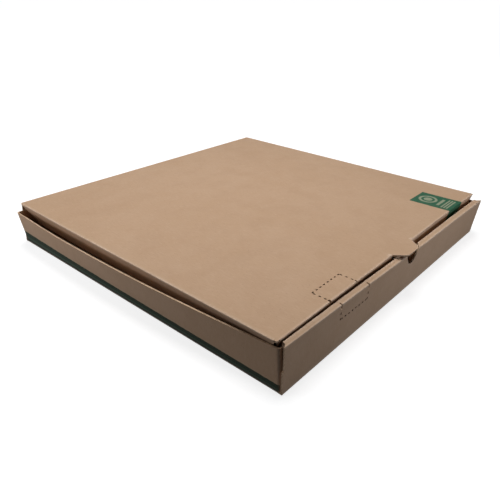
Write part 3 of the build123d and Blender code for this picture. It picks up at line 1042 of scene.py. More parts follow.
@dataclass
class Tray:
    """Bottom and four walls: side walls with corner tabs, and a front wall rolled over them."""

    board: Board = field(default_factory=Board)
    tear: TearOut = field(default_factory=TearOut)
    half_width: float = 200.0
    half_depth: float = 200.0
    front_height: float = 45.6
    front_lean: tuple[float, float] = (-0.7, 4.8)
    strip_width: tuple[float, float] = (5.0, 7.8)
    strip_rise: tuple[float, float] = (2.0, 0.0)
    front_end: tuple[float, float] = (198.0, 199.8)
    front_end_inner: float = 195.6
    front_foot_end: float = 199.9
    shoulder: float = 22.0
    inner_foot: float = 9.0
    inner_gap: float = 0.2
    lock_width: float = 42.0
    lock_spacing: float = 210.0
    lock_clearance: float = 0.2
    side_height: float = 42.4
    side_bow: float = 11.1
    side_rear_flare: float = 9.15
    side_rear_rise: float = 1.6
    side_rear_set: float = 9.4
    corner_radius: float = 2.4
    corner_set: tuple[float, float] = (1.4, 0.0)
    tab_length: float = 62.0
    tab_set: tuple[float, float] = (1.8, -1.5)
    tab_height: float = 30.0
    tab_step: float = 3.7
    tab_gap: float = 0.2
    bow_share: float = 0.8
    crease_height: float = 52.2
    back_lean: float = 7.7
    crease_gap: float = 0.5
    notch_x: float = 8.0
    notch_width: float = 46.0
    notch_depth: float = 19.3
    notch_radius: float = 9.0
    notch_outer: tuple[float, float] = (1.8, 1.8)
    front_bulge: float = 0.9
    front_ripple: float = 0.1
    side_ripple: float = 0.15
    shoulder_blend: float = 0.15
    end_reach: float = 185.0
    side_rise_reach: float = 90.0
    crease_slit: tuple[float, float] = (2.4, 1.2)
    band_tops: tuple[float, float] = (8.2, 17.4)
    band_ends: tuple[float, float] = (-197.0, 200.0)
    band_inset: float = 0.9

    @property
    def hinge(self) -> Point:
        """Y and Z of the lid's crease."""
        return self.half_depth - self.back_lean - self.board.half, self.crease_height - self.board.half

    def _front_profile(self, end: int) -> Profile:
        """Section of the front wall at its left end 0 or its right end 1.

        Args:
            end: Which end.

        Returns:
            The profile in Y and Z, from the bottom's edge over the strip to the inner panel's foot.
        """
        lean, rise, width = self.front_lean[end], self.strip_rise[end], self.strip_width[end]
        outer = (-self.half_depth - lean, math.sqrt(self.front_height**2 - lean**2))
        inner = (outer[0] + math.sqrt(width**2 - rise**2), outer[1] + rise)
        foot_y = -self.half_depth + self.inner_foot
        end_z = self.board.thickness + self.inner_gap
        corner = (-self.half_depth, 0.0)
        points = [(corner[0] + self.board.run, 0.0), corner, outer, inner, (foot_y, end_z)]
        middle = shifted(points, -self.board.half)
        middle[-1] = (middle[-1][0], self.lock_clearance)
        return Profile.bend(middle, [self.board.middle_radius] * 3, self.board)

    def _notch(self, outer: float, inner: float) -> Outline:
        """Thumb cut-out on the flat sheet: a rounded V each side of the strip.

        Args:
            outer: Station of the outer crease.
            inner: Station of the inner crease.

        Returns:
            The outline, in X and station.
        """
        half = self.notch_width / 2
        width = float(np.interp(self.notch_x, [-self.half_width, self.half_width], self.strip_width))
        half_outer = half * (1 - width / self.notch_depth)
        shallow = self.notch_depth - width
        radius = self.notch_radius
        corners = []
        narrow, aside = self.notch_outer
        for reach, depth, way, crease, x in ((half_outer - narrow, shallow, -1, outer, self.notch_x + aside),
                                             (half, self.notch_depth, 1, inner, self.notch_x)):
            centre = depth - radius
            slope = math.asin(radius / math.hypot(reach, centre)) + math.atan2(centre, reach)
            angle = np.linspace(way * slope, -way * slope, 15)
            arc = [x + radius * np.sin(angle), crease + way * (centre + radius * np.cos(angle))]
            ends = np.array([(x + way * reach, crease), (x - way * reach, crease)])
            corners += [ends[:1], np.stack(arc, axis=1), ends[1:]]
        return Outline(np.vstack(corners))

    def _front_slits(self, profile: Profile) -> tuple[list[tuple[float, float, float, float]], list[Array]]:
        """Slits of the tear-out on the front wall, as boxes on the sheet, and the grid lines they need.

        Args:
            profile: The front wall's profile.

        Returns:
            The slits as (low X, high X, low station, high station), and lines in X and in station.
        """
        tear = self.tear
        bottom = self.front_height - tear.front_depth
        half = tear.front_width / 2
        slits = []
        for x in (tear.front_x - half, tear.front_x + half):
            edges = (x - tear.cut / 2, x + tear.cut / 2)
            slits.append((*edges, profile.crease(1) - self.crease_slit[0],
                          profile.crease(2) - self.crease_slit[1]))
            for start, end in tear.dashes(tear.front_depth - self.board.run):
                low, high = profile.station_at(1, 1, np.array([bottom + start, bottom + end]))
                slits.append((*edges, float(low), float(high)))
        floor = float(profile.station_at(1, 1, bottom))
        for start, end in tear.dashes(tear.front_width):
            left_x = tear.front_x - half
            slits.append((left_x + start, left_x + end, floor - tear.cut, floor))
        table = np.array(slits)
        return slits, [table[:, :2].ravel(), table[:, 2:].ravel()]

    def _front_ends(self, profile: Profile) -> Callable[[Array, Array], tuple[Array, Array]]:
        """Moves the columns near the front wall's ends onto its shoulder and its tapered strip.

        Past the reach from the middle, X is scaled so that the end lies at a limit that depends on
        the station: the foot's end, then the shoulder's, then tapering to the middle of the strip.

        Args:
            profile: The front wall's profile.

        Returns:
            The move of the sheet coordinates.
        """
        step = float(profile.station_at(1, 1, self.shoulder))
        pocket = (profile.crease(1) + profile.crease(2)) / 2
        blend = self.shoulder_blend
        where = [0.0, step - blend, step + blend, profile.crease(1), pocket, profile.station[-1]]
        hold = self.end_reach

        def move(grid_u: Array, grid_v: Array) -> tuple[Array, Array]:
            """Moved sheet coordinates."""
            result = grid_u.copy()
            foot, inner = self.front_foot_end, self.front_end_inner
            for side, outer in zip((-1, 1), self.front_end):
                limit = np.interp(grid_v, where, [foot, foot, outer, outer, inner, inner])
                past = side * grid_u > hold
                scale = (limit - hold) / (self.front_foot_end - hold)
                result = np.where(past, side * (hold + (side * grid_u - hold) * scale), result)
            return result, grid_v

        return move

    def front_wall(self) -> Pieces:
        """Outer panel, strip, inner panel and the two locks in the bottom."""
        first, last = self._front_profile(0), self._front_profile(1)
        profile = Profile.between(first, last)
        foot_end = float(profile.station_at(3, 1, self.board.thickness + self.inner_gap))
        outer, inner = profile.crease(1), profile.crease(2)
        slits, slit_lines = self._front_slits(profile)
        reach = self.notch_width / 2 + 3
        lock_x = self.lock_spacing / 2
        lock = np.array([x + side * self.lock_width / 2 for x in (-lock_x, lock_x) for side in (-1, 1)])
        end = self.front_foot_end
        shoulder = float(profile.station_at(1, 1, self.shoulder))
        u_lines = grid_lines(-end, end, 6.0, [slit_lines[0], lock],
                             [(self.notch_x - reach, self.notch_x + reach, 0.8),
                              (-end, -end + 6, 1.0), (end - 6, end, 1.0)])
        v_lines = profile.lines(5.0, [slit_lines[1], foot_end, shoulder - self.shoulder_blend,
                                      shoulder + self.shoulder_blend],
                                [(outer - self.notch_depth + 4, inner + self.notch_depth + 3, 0.8)])

        def keep(u: Array, v: Array) -> Array:
            """Board down to the inner panel's foot, and to the bottom at each lock."""
            at_lock = np.abs(np.abs(u) - self.lock_spacing / 2) < self.lock_width / 2
            return (v < foot_end) | at_lock

        def lift(u: Array, v: Array) -> Array:
            """Slight unevenness, and nothing at the foot."""
            return self.front_ripple * ripple(u, v, 130.0, 1.0) * np.clip((v - 6) / 10, 0, 1)

        def push(u: Array, v: Array) -> Array:
            """Outward bow beside the thumb cut-out: a bell curve along the wall, 0 at both feet."""
            free = np.interp(v, [0.0, outer, inner, foot_end], [0.0, 1.0, 1.0, 0.0])
            return -self.front_bulge * np.exp(-(((u - self.notch_x - 22) / 60) ** 2)) * free

        span = (-self.half_width, self.half_width)
        return Sheet(Run.X, first, last, span, u_lines, v_lines, self.board.thickness, True, True,
                     keep, [(self._notch(outer, inner), True)], slits, self._front_ends(profile), lift, push,
                     [profile.crease(0), outer, inner]).build()

    def side_wall(self, side: int) -> Pieces:
        """Side wall with its corner tabs: a level path at the foot and a bowed one at the top.

        Args:
            side: -1 for the left wall, 1 for the right one.

        Returns:
            The wall.
        """
        paths = []
        for share in (0.0, 1.0):
            wall_x = self.half_width - self.board.half
            front_set = self.tab_set[0 if side < 0 else 1] * share
            front_y = -self.half_depth + self.board.thickness * 1.5 + self.tab_gap + front_set
            rear_y = self.half_depth - self.board.thickness * 1.5 - self.tab_gap - self.side_rear_set * share
            rear_x = wall_x + self.side_rear_flare * share
            apex = (self.side_bow - self.side_rear_flare / 2) * share
            vertex = (wall_x + rear_x) / 2 + apex / (1 - self.bow_share / 2)
            tab_x = wall_x - self.tab_length
            corner_y = front_y + self.corner_set[0 if side < 0 else 1] * share
            points = [(tab_x, front_y), (wall_x, corner_y), (vertex, (corner_y + rear_y) / 2),
                      (rear_x, rear_y), (tab_x, rear_y)]
            radius = self.corner_radius
            path = [(side * x, y) for x, y in points]
            paths.append(Profile.bend(path, [radius, 0.0, radius], bow=self.bow_share, steps=16))
        profile = Profile.between(*paths)
        low, high = self.board.outer_radius, self.side_height
        ends = profile.crease(0), profile.crease(2)
        step = profile.straights[0][1] + self.corner_radius + self.board.half - self.tab_step

        def keep(u: Array, v: Array) -> Array:
            """Board apart from the upper part of the front tab, short of the corner's fold."""
            return (u < self.tab_height) | (v > step)

        def lift(u: Array, v: Array) -> Array:
            """Up to 0.3 mm inwards, and nothing at the foot or near the corners."""
            from_corner = np.minimum(v - ends[0] - 4, ends[1] - 4 - v)
            free = np.clip((u - 6) / 30, 0, 1) * np.clip(from_corner / 20, 0, 1)
            return side * self.side_ripple * (1 + ripple(v, u, 150.0, 2.0 + side)) * free

        def move(grid_u: Array, grid_v: Array) -> tuple[Array, Array]:
            """Raises the top edge towards its rear end, in proportion to the height over 12 mm."""
            past = np.clip((grid_v - ends[1]) / self.side_rise_reach + 1, 0, 1) ** 1.5
            up = np.clip((grid_u - 12) / (high - 12), 0, 1)
            return grid_u + self.side_rear_rise * past * up, grid_v

        u_lines = grid_lines(low, high, 4.0, [self.tab_height], [(high - 3, high, 1.0)])
        v_lines = profile.lines(7.0, [step])
        return Sheet(Run.Z, *paths, (low, high), u_lines, v_lines, self.board.thickness, side < 0, False,
                     keep, move=move, creases=ends, lift=lift).build()

    def bottom(self) -> Pieces:
        """Bottom panel with the fold at the foot of each side wall, and the slots of the locks."""
        edge = self.half_width - self.board.half
        top, low = self.board.outer_radius, self.board.half
        points = [(-edge, top), (-edge, low), (edge, low), (edge, top)]
        profile = Profile.bend(points, [self.board.middle_radius] * 2, self.board)
        flat = profile.straights[1]
        fold_end = self.half_depth - self.board.outer_radius
        flat_end = self.half_depth - self.board.run
        lock_y = -self.half_depth + self.inner_foot - self.board.half
        slot_half = self.board.half + self.lock_clearance
        slot_y = (lock_y - slot_half, lock_y + slot_half)
        reach = self.lock_width / 2 + self.lock_clearance
        middle = profile.station[-1] / 2
        slots = [(*slot_y, middle + x - reach, middle + x + reach)
                 for x in (-self.lock_spacing / 2, self.lock_spacing / 2)]
        table = np.array(slots)

        def keep(u: Array, v: Array) -> Array:
            """Flat board to the walls' folds, and the side folds a little further."""
            is_flat = (v > flat[0]) & (v < flat[1])
            return (np.abs(u) < fold_end) & (~is_flat | (np.abs(u) < flat_end))

        u_lines = grid_lines(-fold_end, fold_end, 9.0, [-flat_end, flat_end, table[:, :2].ravel()])
        v_lines = profile.lines(9.0, [table[:, 2:].ravel()])
        return Sheet(Run.Y, profile, profile, (-fold_end, fold_end), u_lines, v_lines, self.board.thickness,
                     False, False, keep, slits=slots, creases=[profile.crease(0), profile.crease(1)]).build()

    def back_wall(self) -> Pieces:
        """Back wall from the bottom's edge to just under the lid's crease."""
        points = [(self.half_depth - self.board.run, 0.0), (self.half_depth, 0.0),
                  (self.half_depth - self.back_lean, self.crease_height)]
        middle = shifted(points, self.board.half)
        middle[-1] = self.back_top()
        profile = Profile.bend(middle, [self.board.middle_radius])
        end = self.half_width
        return Sheet(Run.X, profile, profile, (-end, end), grid_lines(-end, end, 8.0), profile.lines(6.0),
                     self.board.thickness, False, creases=[profile.crease(0)]).build()

    def back_top(self) -> Point:
        """Middle of the back wall's upper end, a little short of the crease's own line."""
        hinge = np.array(self.hinge)
        way = unit((self.half_depth, 0.0), (self.half_depth - self.back_lean, self.crease_height))
        return tuple(hinge - way * (self.board.half + self.crease_gap))

    def banded_liner(self) -> bpy.types.Material:
        """Liner with the band that is printed along the foot of the left wall."""
        tops, ends = (tuple(value * MM for value in pair) for pair in (self.band_tops, self.band_ends))
        side = (self.band_inset - self.half_width) * MM
        return KraftLiner(band_tops=tops, band_ends=ends, band_side=side).material("banded_kraft_liner")

    def dress(self, finishes: dict[str, bpy.types.Material]) -> bpy.types.Object:
        """Makes the tray's object.

        Args:
            finishes: Materials by name.

        Returns:
            The object, which rides on the tray and stands for its CAD node.
        """
        slots = board_slots(finishes)
        banded = Pieces.joined([self.bottom(), self.side_wall(-1)])
        banded.slots = np.where(banded.slots == Face.OUTSIDE.value, len(slots), banded.slots)
        whole = Pieces.joined([banded, self.front_wall(), self.back_wall(), self.side_wall(1)])
        piece = whole.to_object("tray_board", [*slots, finishes["banded_liner"]])
        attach(piece, "tray")
        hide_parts("tray")
        LOG.info("tray_board: %d quads", len(whole.quads))
        return piece


@dataclass
class Lid:
    """Lid panel with its flaps, thumb tab, tear-out and label, hinged on the back wall."""

    tray: Tray
    board: Board = field(default_factory=Board)
    tear: TearOut = field(default_factory=TearOut)
    width: float = 403.0
    depth: float = 386.2
    drop: float = 1.7
    side_flap_depth: float = 32.0
    side_flap_tilt: float = 26.0
    side_flap_front_gap: float = 3.2
    side_flap_rear_gap: float = 1.5
    side_flap_front_slope: float = 13.0
    side_flap_rear_slope: float = 10.0
    front_flap_depth: float = 37.0
    front_flap_tilt: float = 3.5
    front_flap_end_gap: float = 4.0
    front_flap_end_slope: float = 9.0
    corner_inset: float = 0.5
    thumb_x: float = 2.0
    thumb_width: float = 44.0
    thumb_tip: float = 24.0
    thumb_reach: float = 12.5
    thumb_radius: float = 9.0
    nick: float = 2.4
    nick_rise: float = 1.6
    nick_halves: tuple[float, float] = (1.3, 0.7)
    sag: float = 0.9
    sag_ripple: float = 0.25
    flap_ripple: float = 0.15
    front_lean: tuple[float, float] = (0.42, 0.14)
    back_reach: float = 120.0
    left_hang: float = 0.8
    hang_reach: float = 110.0
    crease_reach: float = 1.3
    label_x: tuple[float, float] = (125.6, 163.1)
    label_rear: float = -143.3
    label_drop: float = 15.0
    label_thickness: float = 0.12

    @property
    def top(self) -> float:
        """Height of the lid's upper face before it is turned down to rest."""
        return self.tray.crease_height

    @property
    def front(self) -> float:
        """Y of the front crease before the lid is turned down."""
        return self.tray.hinge[0] + self.board.half - self.depth

    @property
    def angle(self) -> float:
        """Turn that brings the lid down to rest, in degrees."""
        return math.degrees(math.atan2(self.drop, self.depth))

    @property
    def edge(self) -> Point:
        """X and Y where the flat panel ends and the flaps' folds start."""
        return self.width / 2 - self.board.run, self.front + self.board.run

    def _sag(self, x: Array, y: Array) -> Array:
        """Sag of the panel: the product of two parabolas, 0 at its edges, with some unevenness."""
        edge_x, edge_y = self.edge
        rear = self.tray.hinge[0]
        middle, half = (rear + edge_y) / 2, (rear - edge_y) / 2
        bowl = np.clip(1 - (x / edge_x) ** 2, 0, 1) * np.clip(1 - ((y - middle) / half) ** 2, 0, 1)
        return -bowl * (self.sag + self.sag_ripple * ripple(x, y, 190.0, 3.0))

    def _warp(self, points: Array) -> None:
        """Warps the folded board.

        The left side hangs lower, apart from its rear end. The front edge right of the thumb tab
        stands up to 1.6 mm back, and the shift fades out to the rear. The front flap leans in by a
        share of the depth under the lid, more at its left than at its right.

        Args:
            points: The board's points, which are moved.
        """
        x, y, below = points[:, 0], points[:, 1], np.clip(self.top - points[:, 2] - 0.8, 0, None)
        at_front = y < self.front + 4 + 0.5 * below
        away = self.tray.hinge[0] - y
        left_side = np.interp(x, [-200.0, -165.0, -95.0, -60.0], [1.0, 0.85, 0.15, 0.0])
        back = np.interp(x, [-20.0, 40.0, 80.0, 130.0, 170.0, 200.0], [0.0, 0.9, 1.5, 1.6, 1.2, 0.7])
        lean = np.interp(x, [-60.0, 40.0], self.front_lean) * at_front * (np.abs(x) < self.width / 2 - 3)
        points[:, 1] += back * np.clip(1 - (y - self.front) / self.back_reach, 0, 1) + lean * below
        points[:, 2] -= self.left_hang * left_side * np.clip(away / self.hang_reach, 0, 1)

    def _thumb(self, inside: float) -> Outline:
        """Outline of the thumb tab, in X and Y, with its root carried back into the panel.

        Args:
            inside: How far behind the crease the root reaches.

        Returns:
            The outline.
        """
        half, tip = self.thumb_width / 2, self.thumb_tip / 2
        x, y = self.thumb_x, self.front
        corners = [(x - half, y + inside), (x - half, y), (x - tip, y - self.thumb_reach),
                   (x + tip, y - self.thumb_reach), (x + half, y), (x + half, y + inside)]
        return Outline.filleted(corners, [0, 0, self.thumb_radius, self.thumb_radius, 0, 0])

    def panel(self) -> Pieces:
        """Flat panel with the corner pieces beside the flaps, the thumb tab and the tear-out."""
        edge_x, edge_y = self.edge
        rear = self.tray.hinge[0] - self.crease_reach
        corner_x, corner_y = self.width / 2 - self.corner_inset, self.front + self.corner_inset
        flap_y = (self.front + self.side_flap_front_gap, self.tray.hinge[0] - self.side_flap_rear_gap)
        flap_x = self.width / 2 - self.front_flap_end_gap
        tip = self.front - self.thumb_reach
        z = self.top - self.board.half
        profile = Profile.bend([(tip, z), (rear, z)], [])
        half = self.thumb_width / 2
        tear = self.tear
        tear_rear = self.front + tear.lid_depth
        slits = []
        for x in tear.lid_sides:
            edges = (x - tear.cut / 2, x + tear.cut / 2)
            for start, end in tear.dashes(tear.lid_depth - self.board.run):
                slits.append((*edges, tear_rear - end - tip, tear_rear - start - tip))
        for start, end in tear.dashes(tear.width):
            low = tear.lid_sides[0]
            slits.append((low + start, low + end, tear_rear - tip, tear_rear + tear.cut - tip))
        table = np.array(slits)

        def keep(u: Array, v: Array) -> Array:
            """Panel, side strips beyond the flaps' ends, front corners, and room for the thumb tab."""
            y = v + tip
            x = np.abs(u)
            main = (x < edge_x) & (y > edge_y)
            strips = (x > edge_x) & (x < corner_x) & (y > edge_y) & ((y < flap_y[0]) | (y > flap_y[1]))
            corners = (x > flap_x) & (x < corner_x) & (y > corner_y) & (y < edge_y)
            tab = (np.abs(u - self.thumb_x) < half) & (y < edge_y)
            return main | strips | corners | tab

        xs = [-corner_x, corner_x, -edge_x, edge_x, -flap_x, flap_x, self.thumb_x - half, self.thumb_x + half]
        ys = np.array([edge_y, corner_y, flap_y[0], flap_y[1]]) - tip
        u_lines = grid_lines(-corner_x, corner_x, 8.0, [np.array(xs), table[:, :2].ravel()],
                             [(self.thumb_x - half, self.thumb_x + half, 0.9)])
        v_lines = grid_lines(0.0, rear - tip, 8.0, [ys, table[:, 2:].ravel()], [(0.0, edge_y - tip, 0.9)])
        thumb = self._thumb(self.board.run).points - np.array([0.0, tip])
        return Sheet(Run.X, profile, profile, (-corner_x, corner_x), u_lines, v_lines, self.board.thickness,
                     True, True, keep, [(TabCut(thumb, edge_y - tip), False)], slits,
                     lift=lambda u, v: self._sag(u, v + tip)).build()

    def _flap_points(self, depth: float, tilt: float) -> list[Point]:
        """Middle line of a fold and its flap: outwards from the panel's edge, then down.

        Args:
            depth: Length of the flap.
            tilt: How far it leans inwards, in degrees.

        Returns:
            Points as the distance outwards and the height over the panel's upper face.
        """
        corner = self.board.run - self.board.half
        tip = (corner - depth * math.sin(math.radians(tilt)), -depth * math.cos(math.radians(tilt)))
        return [(0.0, -self.board.half), (corner, -self.board.half), tip]

    def side_flap(self, side: int) -> Pieces:
        """Side flap, whose ends slant so that it is shorter at its lower edge.

        Args:
            side: -1 for the left flap, 1 for the right one.

        Returns:
            The flap.
        """
        points = [(side * (self.edge[0] + out), self.top + up)
                  for out, up in self._flap_points(self.side_flap_depth, self.side_flap_tilt)]
        profile = Profile.bend(points, [self.board.middle_radius], self.board)
        low = self.front + self.side_flap_front_gap
        high = self.tray.hinge[0] - self.side_flap_rear_gap
        start = profile.straights[1][0]
        length = profile.station[-1] - start

        def move(grid_u: Array, grid_v: Array) -> tuple[Array, Array]:
            """Squeezes the flap's length towards its middle, in proportion to the depth."""
            down = np.clip((grid_v - start) / length, 0, 1)
            share = (grid_u - low) / (high - low)
            inset = (1 - share) * self.side_flap_front_slope - share * self.side_flap_rear_slope
            return grid_u + inset * down, grid_v

        def lift(u: Array, v: Array) -> Array:
            """Up to 0.3 mm inwards, and nothing at the fold."""
            uneven = 1 + ripple(u, v, 170.0, 5.0 + side)
            return -side * self.flap_ripple * uneven * np.clip((v - 8) / 20, 0, 1)

        return Sheet(Run.Y, profile, profile, (low, high), grid_lines(low, high, 8.0),
                     profile.lines(4.0), self.board.thickness,
                     side > 0, False, move=move, creases=[profile.crease(0)], lift=lift).build()

    def _front_flap_profile(self) -> Profile:
        """Section of the front fold and flap, in Y and Z."""
        points = [(self.edge[1] - out, self.top + up)
                  for out, up in self._flap_points(self.front_flap_depth, self.front_flap_tilt)]
        return Profile.bend(points, [self.board.middle_radius], self.board)

    def front_flap(self) -> Pieces:
        """Front flap with slanted ends, and the opening that the thumb tab is cut from."""
        profile = self._front_flap_profile()
        end = self.width / 2 - self.front_flap_end_gap
        start = profile.straights[1][0]
        length = profile.station[-1] - start
        crease = profile.crease(0)
        half, tip = self.thumb_width / 2, self.thumb_tip / 2
        bottom = float(profile.station_at(1, 1, self.top - self.thumb_reach))
        root = float(profile.station_at(1, 1, self.top))
        x = self.thumb_x
        corners = [(x - half, -5.0), (x - half, root), (x - tip, bottom),
                   (x + tip, bottom), (x + half, root), (x + half, -5.0)]
        opening = Outline.filleted(corners, [0, 0, self.thumb_radius, self.thumb_radius, 0, 0])
        slits = [(side - cut, side + cut, crease - self.nick_rise, crease + self.nick)
                 for side, cut in zip(self.tear.lid_sides, self.nick_halves)]
        table = np.array(slits)

        def move(grid_u: Array, grid_v: Array) -> tuple[Array, Array]:
            """Brings the last 20 mm at each end inwards, in proportion to the depth."""
            inset = self.front_flap_end_slope * np.clip((grid_v - start) / length, 0, 1)
            past = np.clip(np.abs(grid_u) - (end - 20), 0, None)
            return grid_u - np.sign(grid_u) * past * inset / 20, grid_v

        u_lines = grid_lines(-end, end, 8.0, [table[:, :2].ravel(), x - half, x + half],
                             [(x - half, x + half, 0.9), (end - 20, end, 4.0), (-end, 20 - end, 4.0)])
        v_lines = profile.lines(5.0, [table[:, 2:].ravel()], [(0.0, bottom + 3, 0.9)])
        return Sheet(Run.X, profile, profile, (-end, end), u_lines, v_lines, self.board.thickness, False,
                     cuts=[(opening, True)], slits=slits, move=move, creases=[crease]).build()

    def crease(self) -> Pieces:
        """Board across the lid's crease, from the back wall's upper end to the panel's rear edge."""
        hinge = self.tray.hinge
        points = [self.tray.back_top(), hinge, (hinge[0] - self.crease_reach, hinge[1])]
        profile = Profile.bend(points, [self.board.half + 0.15], self.board)
        end = self.tray.half_width
        return Sheet(Run.X, profile, profile, (-end, end), grid_lines(-end, end, 8.0), profile.lines(1.0),
                     self.board.thickness, False, creases=[profile.crease(0)]).build()

    def label(self) -> Pieces:
        """Label on the panel's front right corner, folded down over the front flap."""
        fold = [(self.edge[1] - out, self.top + up)
                for out, up in self._flap_points(self.front_flap_depth, self.front_flap_tilt)]
        rise = self.board.half + self.label_thickness / 2
        way = unit(fold[1], fold[2])
        points = [(self.label_rear, fold[0][1]), fold[1], tuple(np.array(fold[1]) + way * self.label_drop)]
        profile = Profile.bend(shifted(points, -rise), [self.board.liner_radius + self.label_thickness / 2])
        low, high = self.label_x
        width = high - low

        def lift(u: Array, v: Array) -> Array:
            """The panel's sag under the label, the other way because the left of its profile is down."""
            return -self._sag(low + u, self.label_rear - v)

        pieces = Sheet(Run.X, profile, profile, (0.0, width), grid_lines(0.0, width, 3.0), profile.lines(3.0),
                       self.label_thickness, False, lift=lift).build()
        pieces.points[:, 0] += low
        return pieces

    def dress(self, finishes: dict[str, bpy.types.Material]) -> list[bpy.types.Object]:
        """Makes the lid's objects.

        Args:
            finishes: Materials by name.

        Returns:
            The lid's board, which stands for its CAD node, the crease's board and the label.
        """
        slots = board_slots(finishes)
        hinge = self.tray.hinge
        whole = Pieces.joined([self.panel(), self.front_flap(), self.side_flap(-1), self.side_flap(1)])
        sticker = self.label()
        for pieces in (whole, sticker):
            self._warp(pieces.points)
        board = whole.turned(self.angle, *hinge).to_object("lid_board", slots)
        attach(board, "lid")
        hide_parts("lid")
        crease = self.crease().to_object("lid_crease", slots)
        start = (0.0, *(value * MM for value in self.tray.back_top()))
        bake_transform(crease)
        label = sticker.turned(self.angle, *hinge).to_object("lid_label", [finishes["label"]] * 4)
        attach(label, "lid")
        for piece in (board, crease, label):
            LOG.info("%s: %d quads", piece.name, len(piece.data.polygons))
        return [board, crease, label]


# Studio


@dataclass(frozen=True)
class Lamp:
    """A soft square lamp aimed at a point."""

    name: str
    place: tuple[float, float, float]
    aim: tuple[float, float, float]
    size: float
    power: float
    colour: Colour = (1.0, 1.0, 1.0)

    def add(self) -> bpy.types.Object:
        """Adds the lamp, unseen by the camera."""
        data = bpy.data.lights.new(self.name, "AREA")
        data.shape, data.size, data.energy = "SQUARE", self.size, self.power
        data.color = self.colour
        lamp = bpy.data.objects.new(self.name, data)
        lamp.matrix_world = facing(self.place, tuple(np.subtract(self.aim, self.place)))
        lamp.visible_camera = False
        bpy.context.scene.collection.objects.link(lamp)
        return lamp


def facing(place: Sequence[float], way: Sequence[float], right: Sequence[float] | None = None) -> Matrix:
    """Matrix of a lamp or camera at a place that looks a given way.

    Args:
        place: Where it stands, in metres.
        way: The direction that it looks in.
        right: Its picture's right, or None for level.

    Returns:
        The world matrix, whose -Z axis is the way.
    """
    back = -np.array(way, float) / np.linalg.norm(way)
    up_guess = (0.0, 1.0, 0.0) if abs(back[2]) > 0.999 else (0.0, 0.0, 1.0)
    side = np.cross(up_guess, back) if right is None else np.array(right)
    side = side / np.linalg.norm(side)
    up = np.cross(back, side)
    matrix = np.identity(4)
    matrix[:3] = np.stack([side, up, back, place], axis=1)
    return Matrix(matrix.tolist())


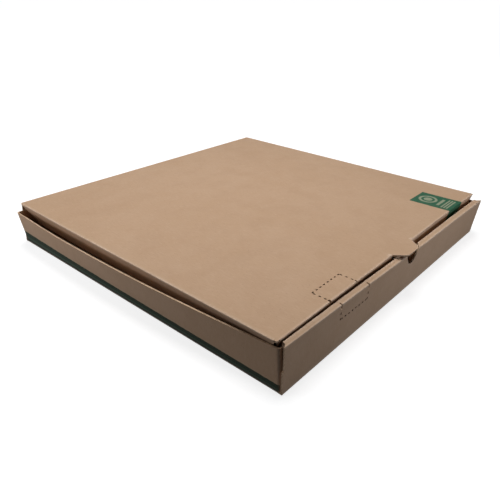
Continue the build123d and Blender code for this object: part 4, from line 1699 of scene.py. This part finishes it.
@dataclass(frozen=True)
class Studio:
    """Pale floor, soft light, and the camera at the photograph's angle."""

    camera_place: tuple[float, float, float] = (-0.438387, -0.371264, 0.281041)
    camera_way: tuple[float, float, float] = (0.6701, 0.5787, -0.4649)
    camera_right: tuple[float, float, float] = (0.6581, -0.7529, 0.0113)
    lens: float = 36.125
    lamps: tuple[Lamp, ...] = (
        Lamp("overhead", (0.0, 0.0, 0.85), (0.0, 0.0, 0.0), 0.4, 4.8),
        Lamp("rear_right", (0.9, 1.0, 1.0), (0.0, 0.0, 0.0), 1.2, 8.6),
        Lamp("left_high", (-0.8, 0.5, 0.75), (-0.2, 0.1, 0.03), 0.5, 1.5),
        Lamp("left_fill", (-0.53, 0.21, 0.12), (-0.2, 0.1, 0.03), 0.16, 0.49, (0.95, 1.0, 1.1)),
        Lamp("front_fill", (0.14, -0.65, 0.11), (0.04, -0.2, 0.03), 0.18, 0.82, (0.93, 1.0, 1.12)),
    )
    world: float = 0.02
    floor: Colour = (0.45, 0.45, 0.45)
    floor_bounce: Colour = (0.16, 0.16, 0.17)
    floor_reach: float = 40.0
    glow_near: float = 0.78
    glow_span: tuple[float, float] = (0.35, 1.1)

    def add(self) -> None:
        """Adds the floor, the world, the lamps and the camera."""
        self._floor()
        self._world()
        for lamp in self.lamps:
            lamp.add()
        data = bpy.data.cameras.new("photo_view")
        data.lens, data.sensor_width, data.sensor_fit = self.lens, 36.0, "HORIZONTAL"
        data.clip_start, data.clip_end = 0.01, 50.0
        camera = bpy.data.objects.new("photo_view", data)
        camera.matrix_world = facing(self.camera_place, self.camera_way, self.camera_right)
        bpy.context.scene.collection.objects.link(camera)
        bpy.context.scene.camera = camera
        bpy.context.scene.view_settings.view_transform = "Standard"

    def _floor(self) -> None:
        """Level floor just under the box, paler for the camera than for the light it returns.

        For the camera it also glows: a little under white near the box, where the lamps add the
        rest and the box keeps its shadow, and white further out.
        """
        reach = self.floor_reach
        mesh = bpy.data.meshes.new("floor")
        corners = [(-reach, -reach, 0.0), (reach, -reach, 0.0), (reach, reach, 0.0), (-reach, reach, 0.0)]
        mesh.from_pydata(corners, [], [(0, 1, 2, 3)])
        bench = NodeBench("pale_floor")
        seen = bench.node("LightPath").outputs["Is Camera Ray"]
        colour = bench.mix(seen, self.floor_bounce, self.floor)
        diffuse = bench.node("BsdfDiffuse", {"Color": colour})
        away = bench.node("VectorMath", {0: bench.node("TexCoord").outputs["Object"]}, operation="LENGTH")
        rise = bench.step(away.outputs["Value"], *self.glow_span, self.glow_near, 1.0)
        white = {"Color": (1.0, 1.0, 1.0, 1.0), "Strength": bench.math("MULTIPLY", seen, rise)}
        glow = bench.node("Emission", white)
        both = bench.node("AddShader", {0: diffuse.outputs[0], 1: glow.outputs[0]})
        bench.tree.links.new(both.outputs[0], bench.output.inputs["Surface"])
        mesh.materials.append(bench.material)
        floor = bpy.data.objects.new("floor", mesh)
        floor.location.z = -0.0001
        bpy.context.scene.collection.objects.link(floor)

    def _world(self) -> None:
        """Even white world, at full strength for camera rays and for transmission rays."""
        world = bpy.data.worlds.new("studio")
        world.use_nodes = True
        nodes, links = world.node_tree.nodes, world.node_tree.links
        background = nodes["Background"]
        background.inputs["Color"].default_value = (1.0, 1.0, 1.0, 1.0)
        path = nodes.new("ShaderNodeLightPath")
        strength = nodes.new("ShaderNodeMapRange")
        seen = nodes.new("ShaderNodeMath")
        seen.operation = "MAXIMUM"
        links.new(path.outputs["Is Camera Ray"], seen.inputs[0])
        links.new(path.outputs["Is Transmission Ray"], seen.inputs[1])
        links.new(seen.outputs[0], strength.inputs["Value"])
        strength.inputs["To Min"].default_value = self.world
        strength.inputs["To Max"].default_value = 1.0
        links.new(strength.outputs["Result"], background.inputs["Strength"])
        bpy.context.scene.world = world


def main() -> None:
    """Loads the frame, builds the tray, the lid and the studio."""
    logging.basicConfig(level=logging.INFO, format="%(name)s: %(message)s")
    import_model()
    tray = Tray()
    finishes = {
        "liner": KraftLiner().material("kraft_liner"),
        "banded_liner": tray.banded_liner(),
        "fluted_edge": RawEdge().material("fluted_edge"),
        "closed_edge": RawEdge(fluted=False).material("closed_edge"),
        "label": LabelPrint().material("label_print"),
    }
    tray.dress(finishes)
    Lid(tray).dress(finishes)
    Studio().add()
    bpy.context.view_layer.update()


if __name__ == "__main__":
    main()
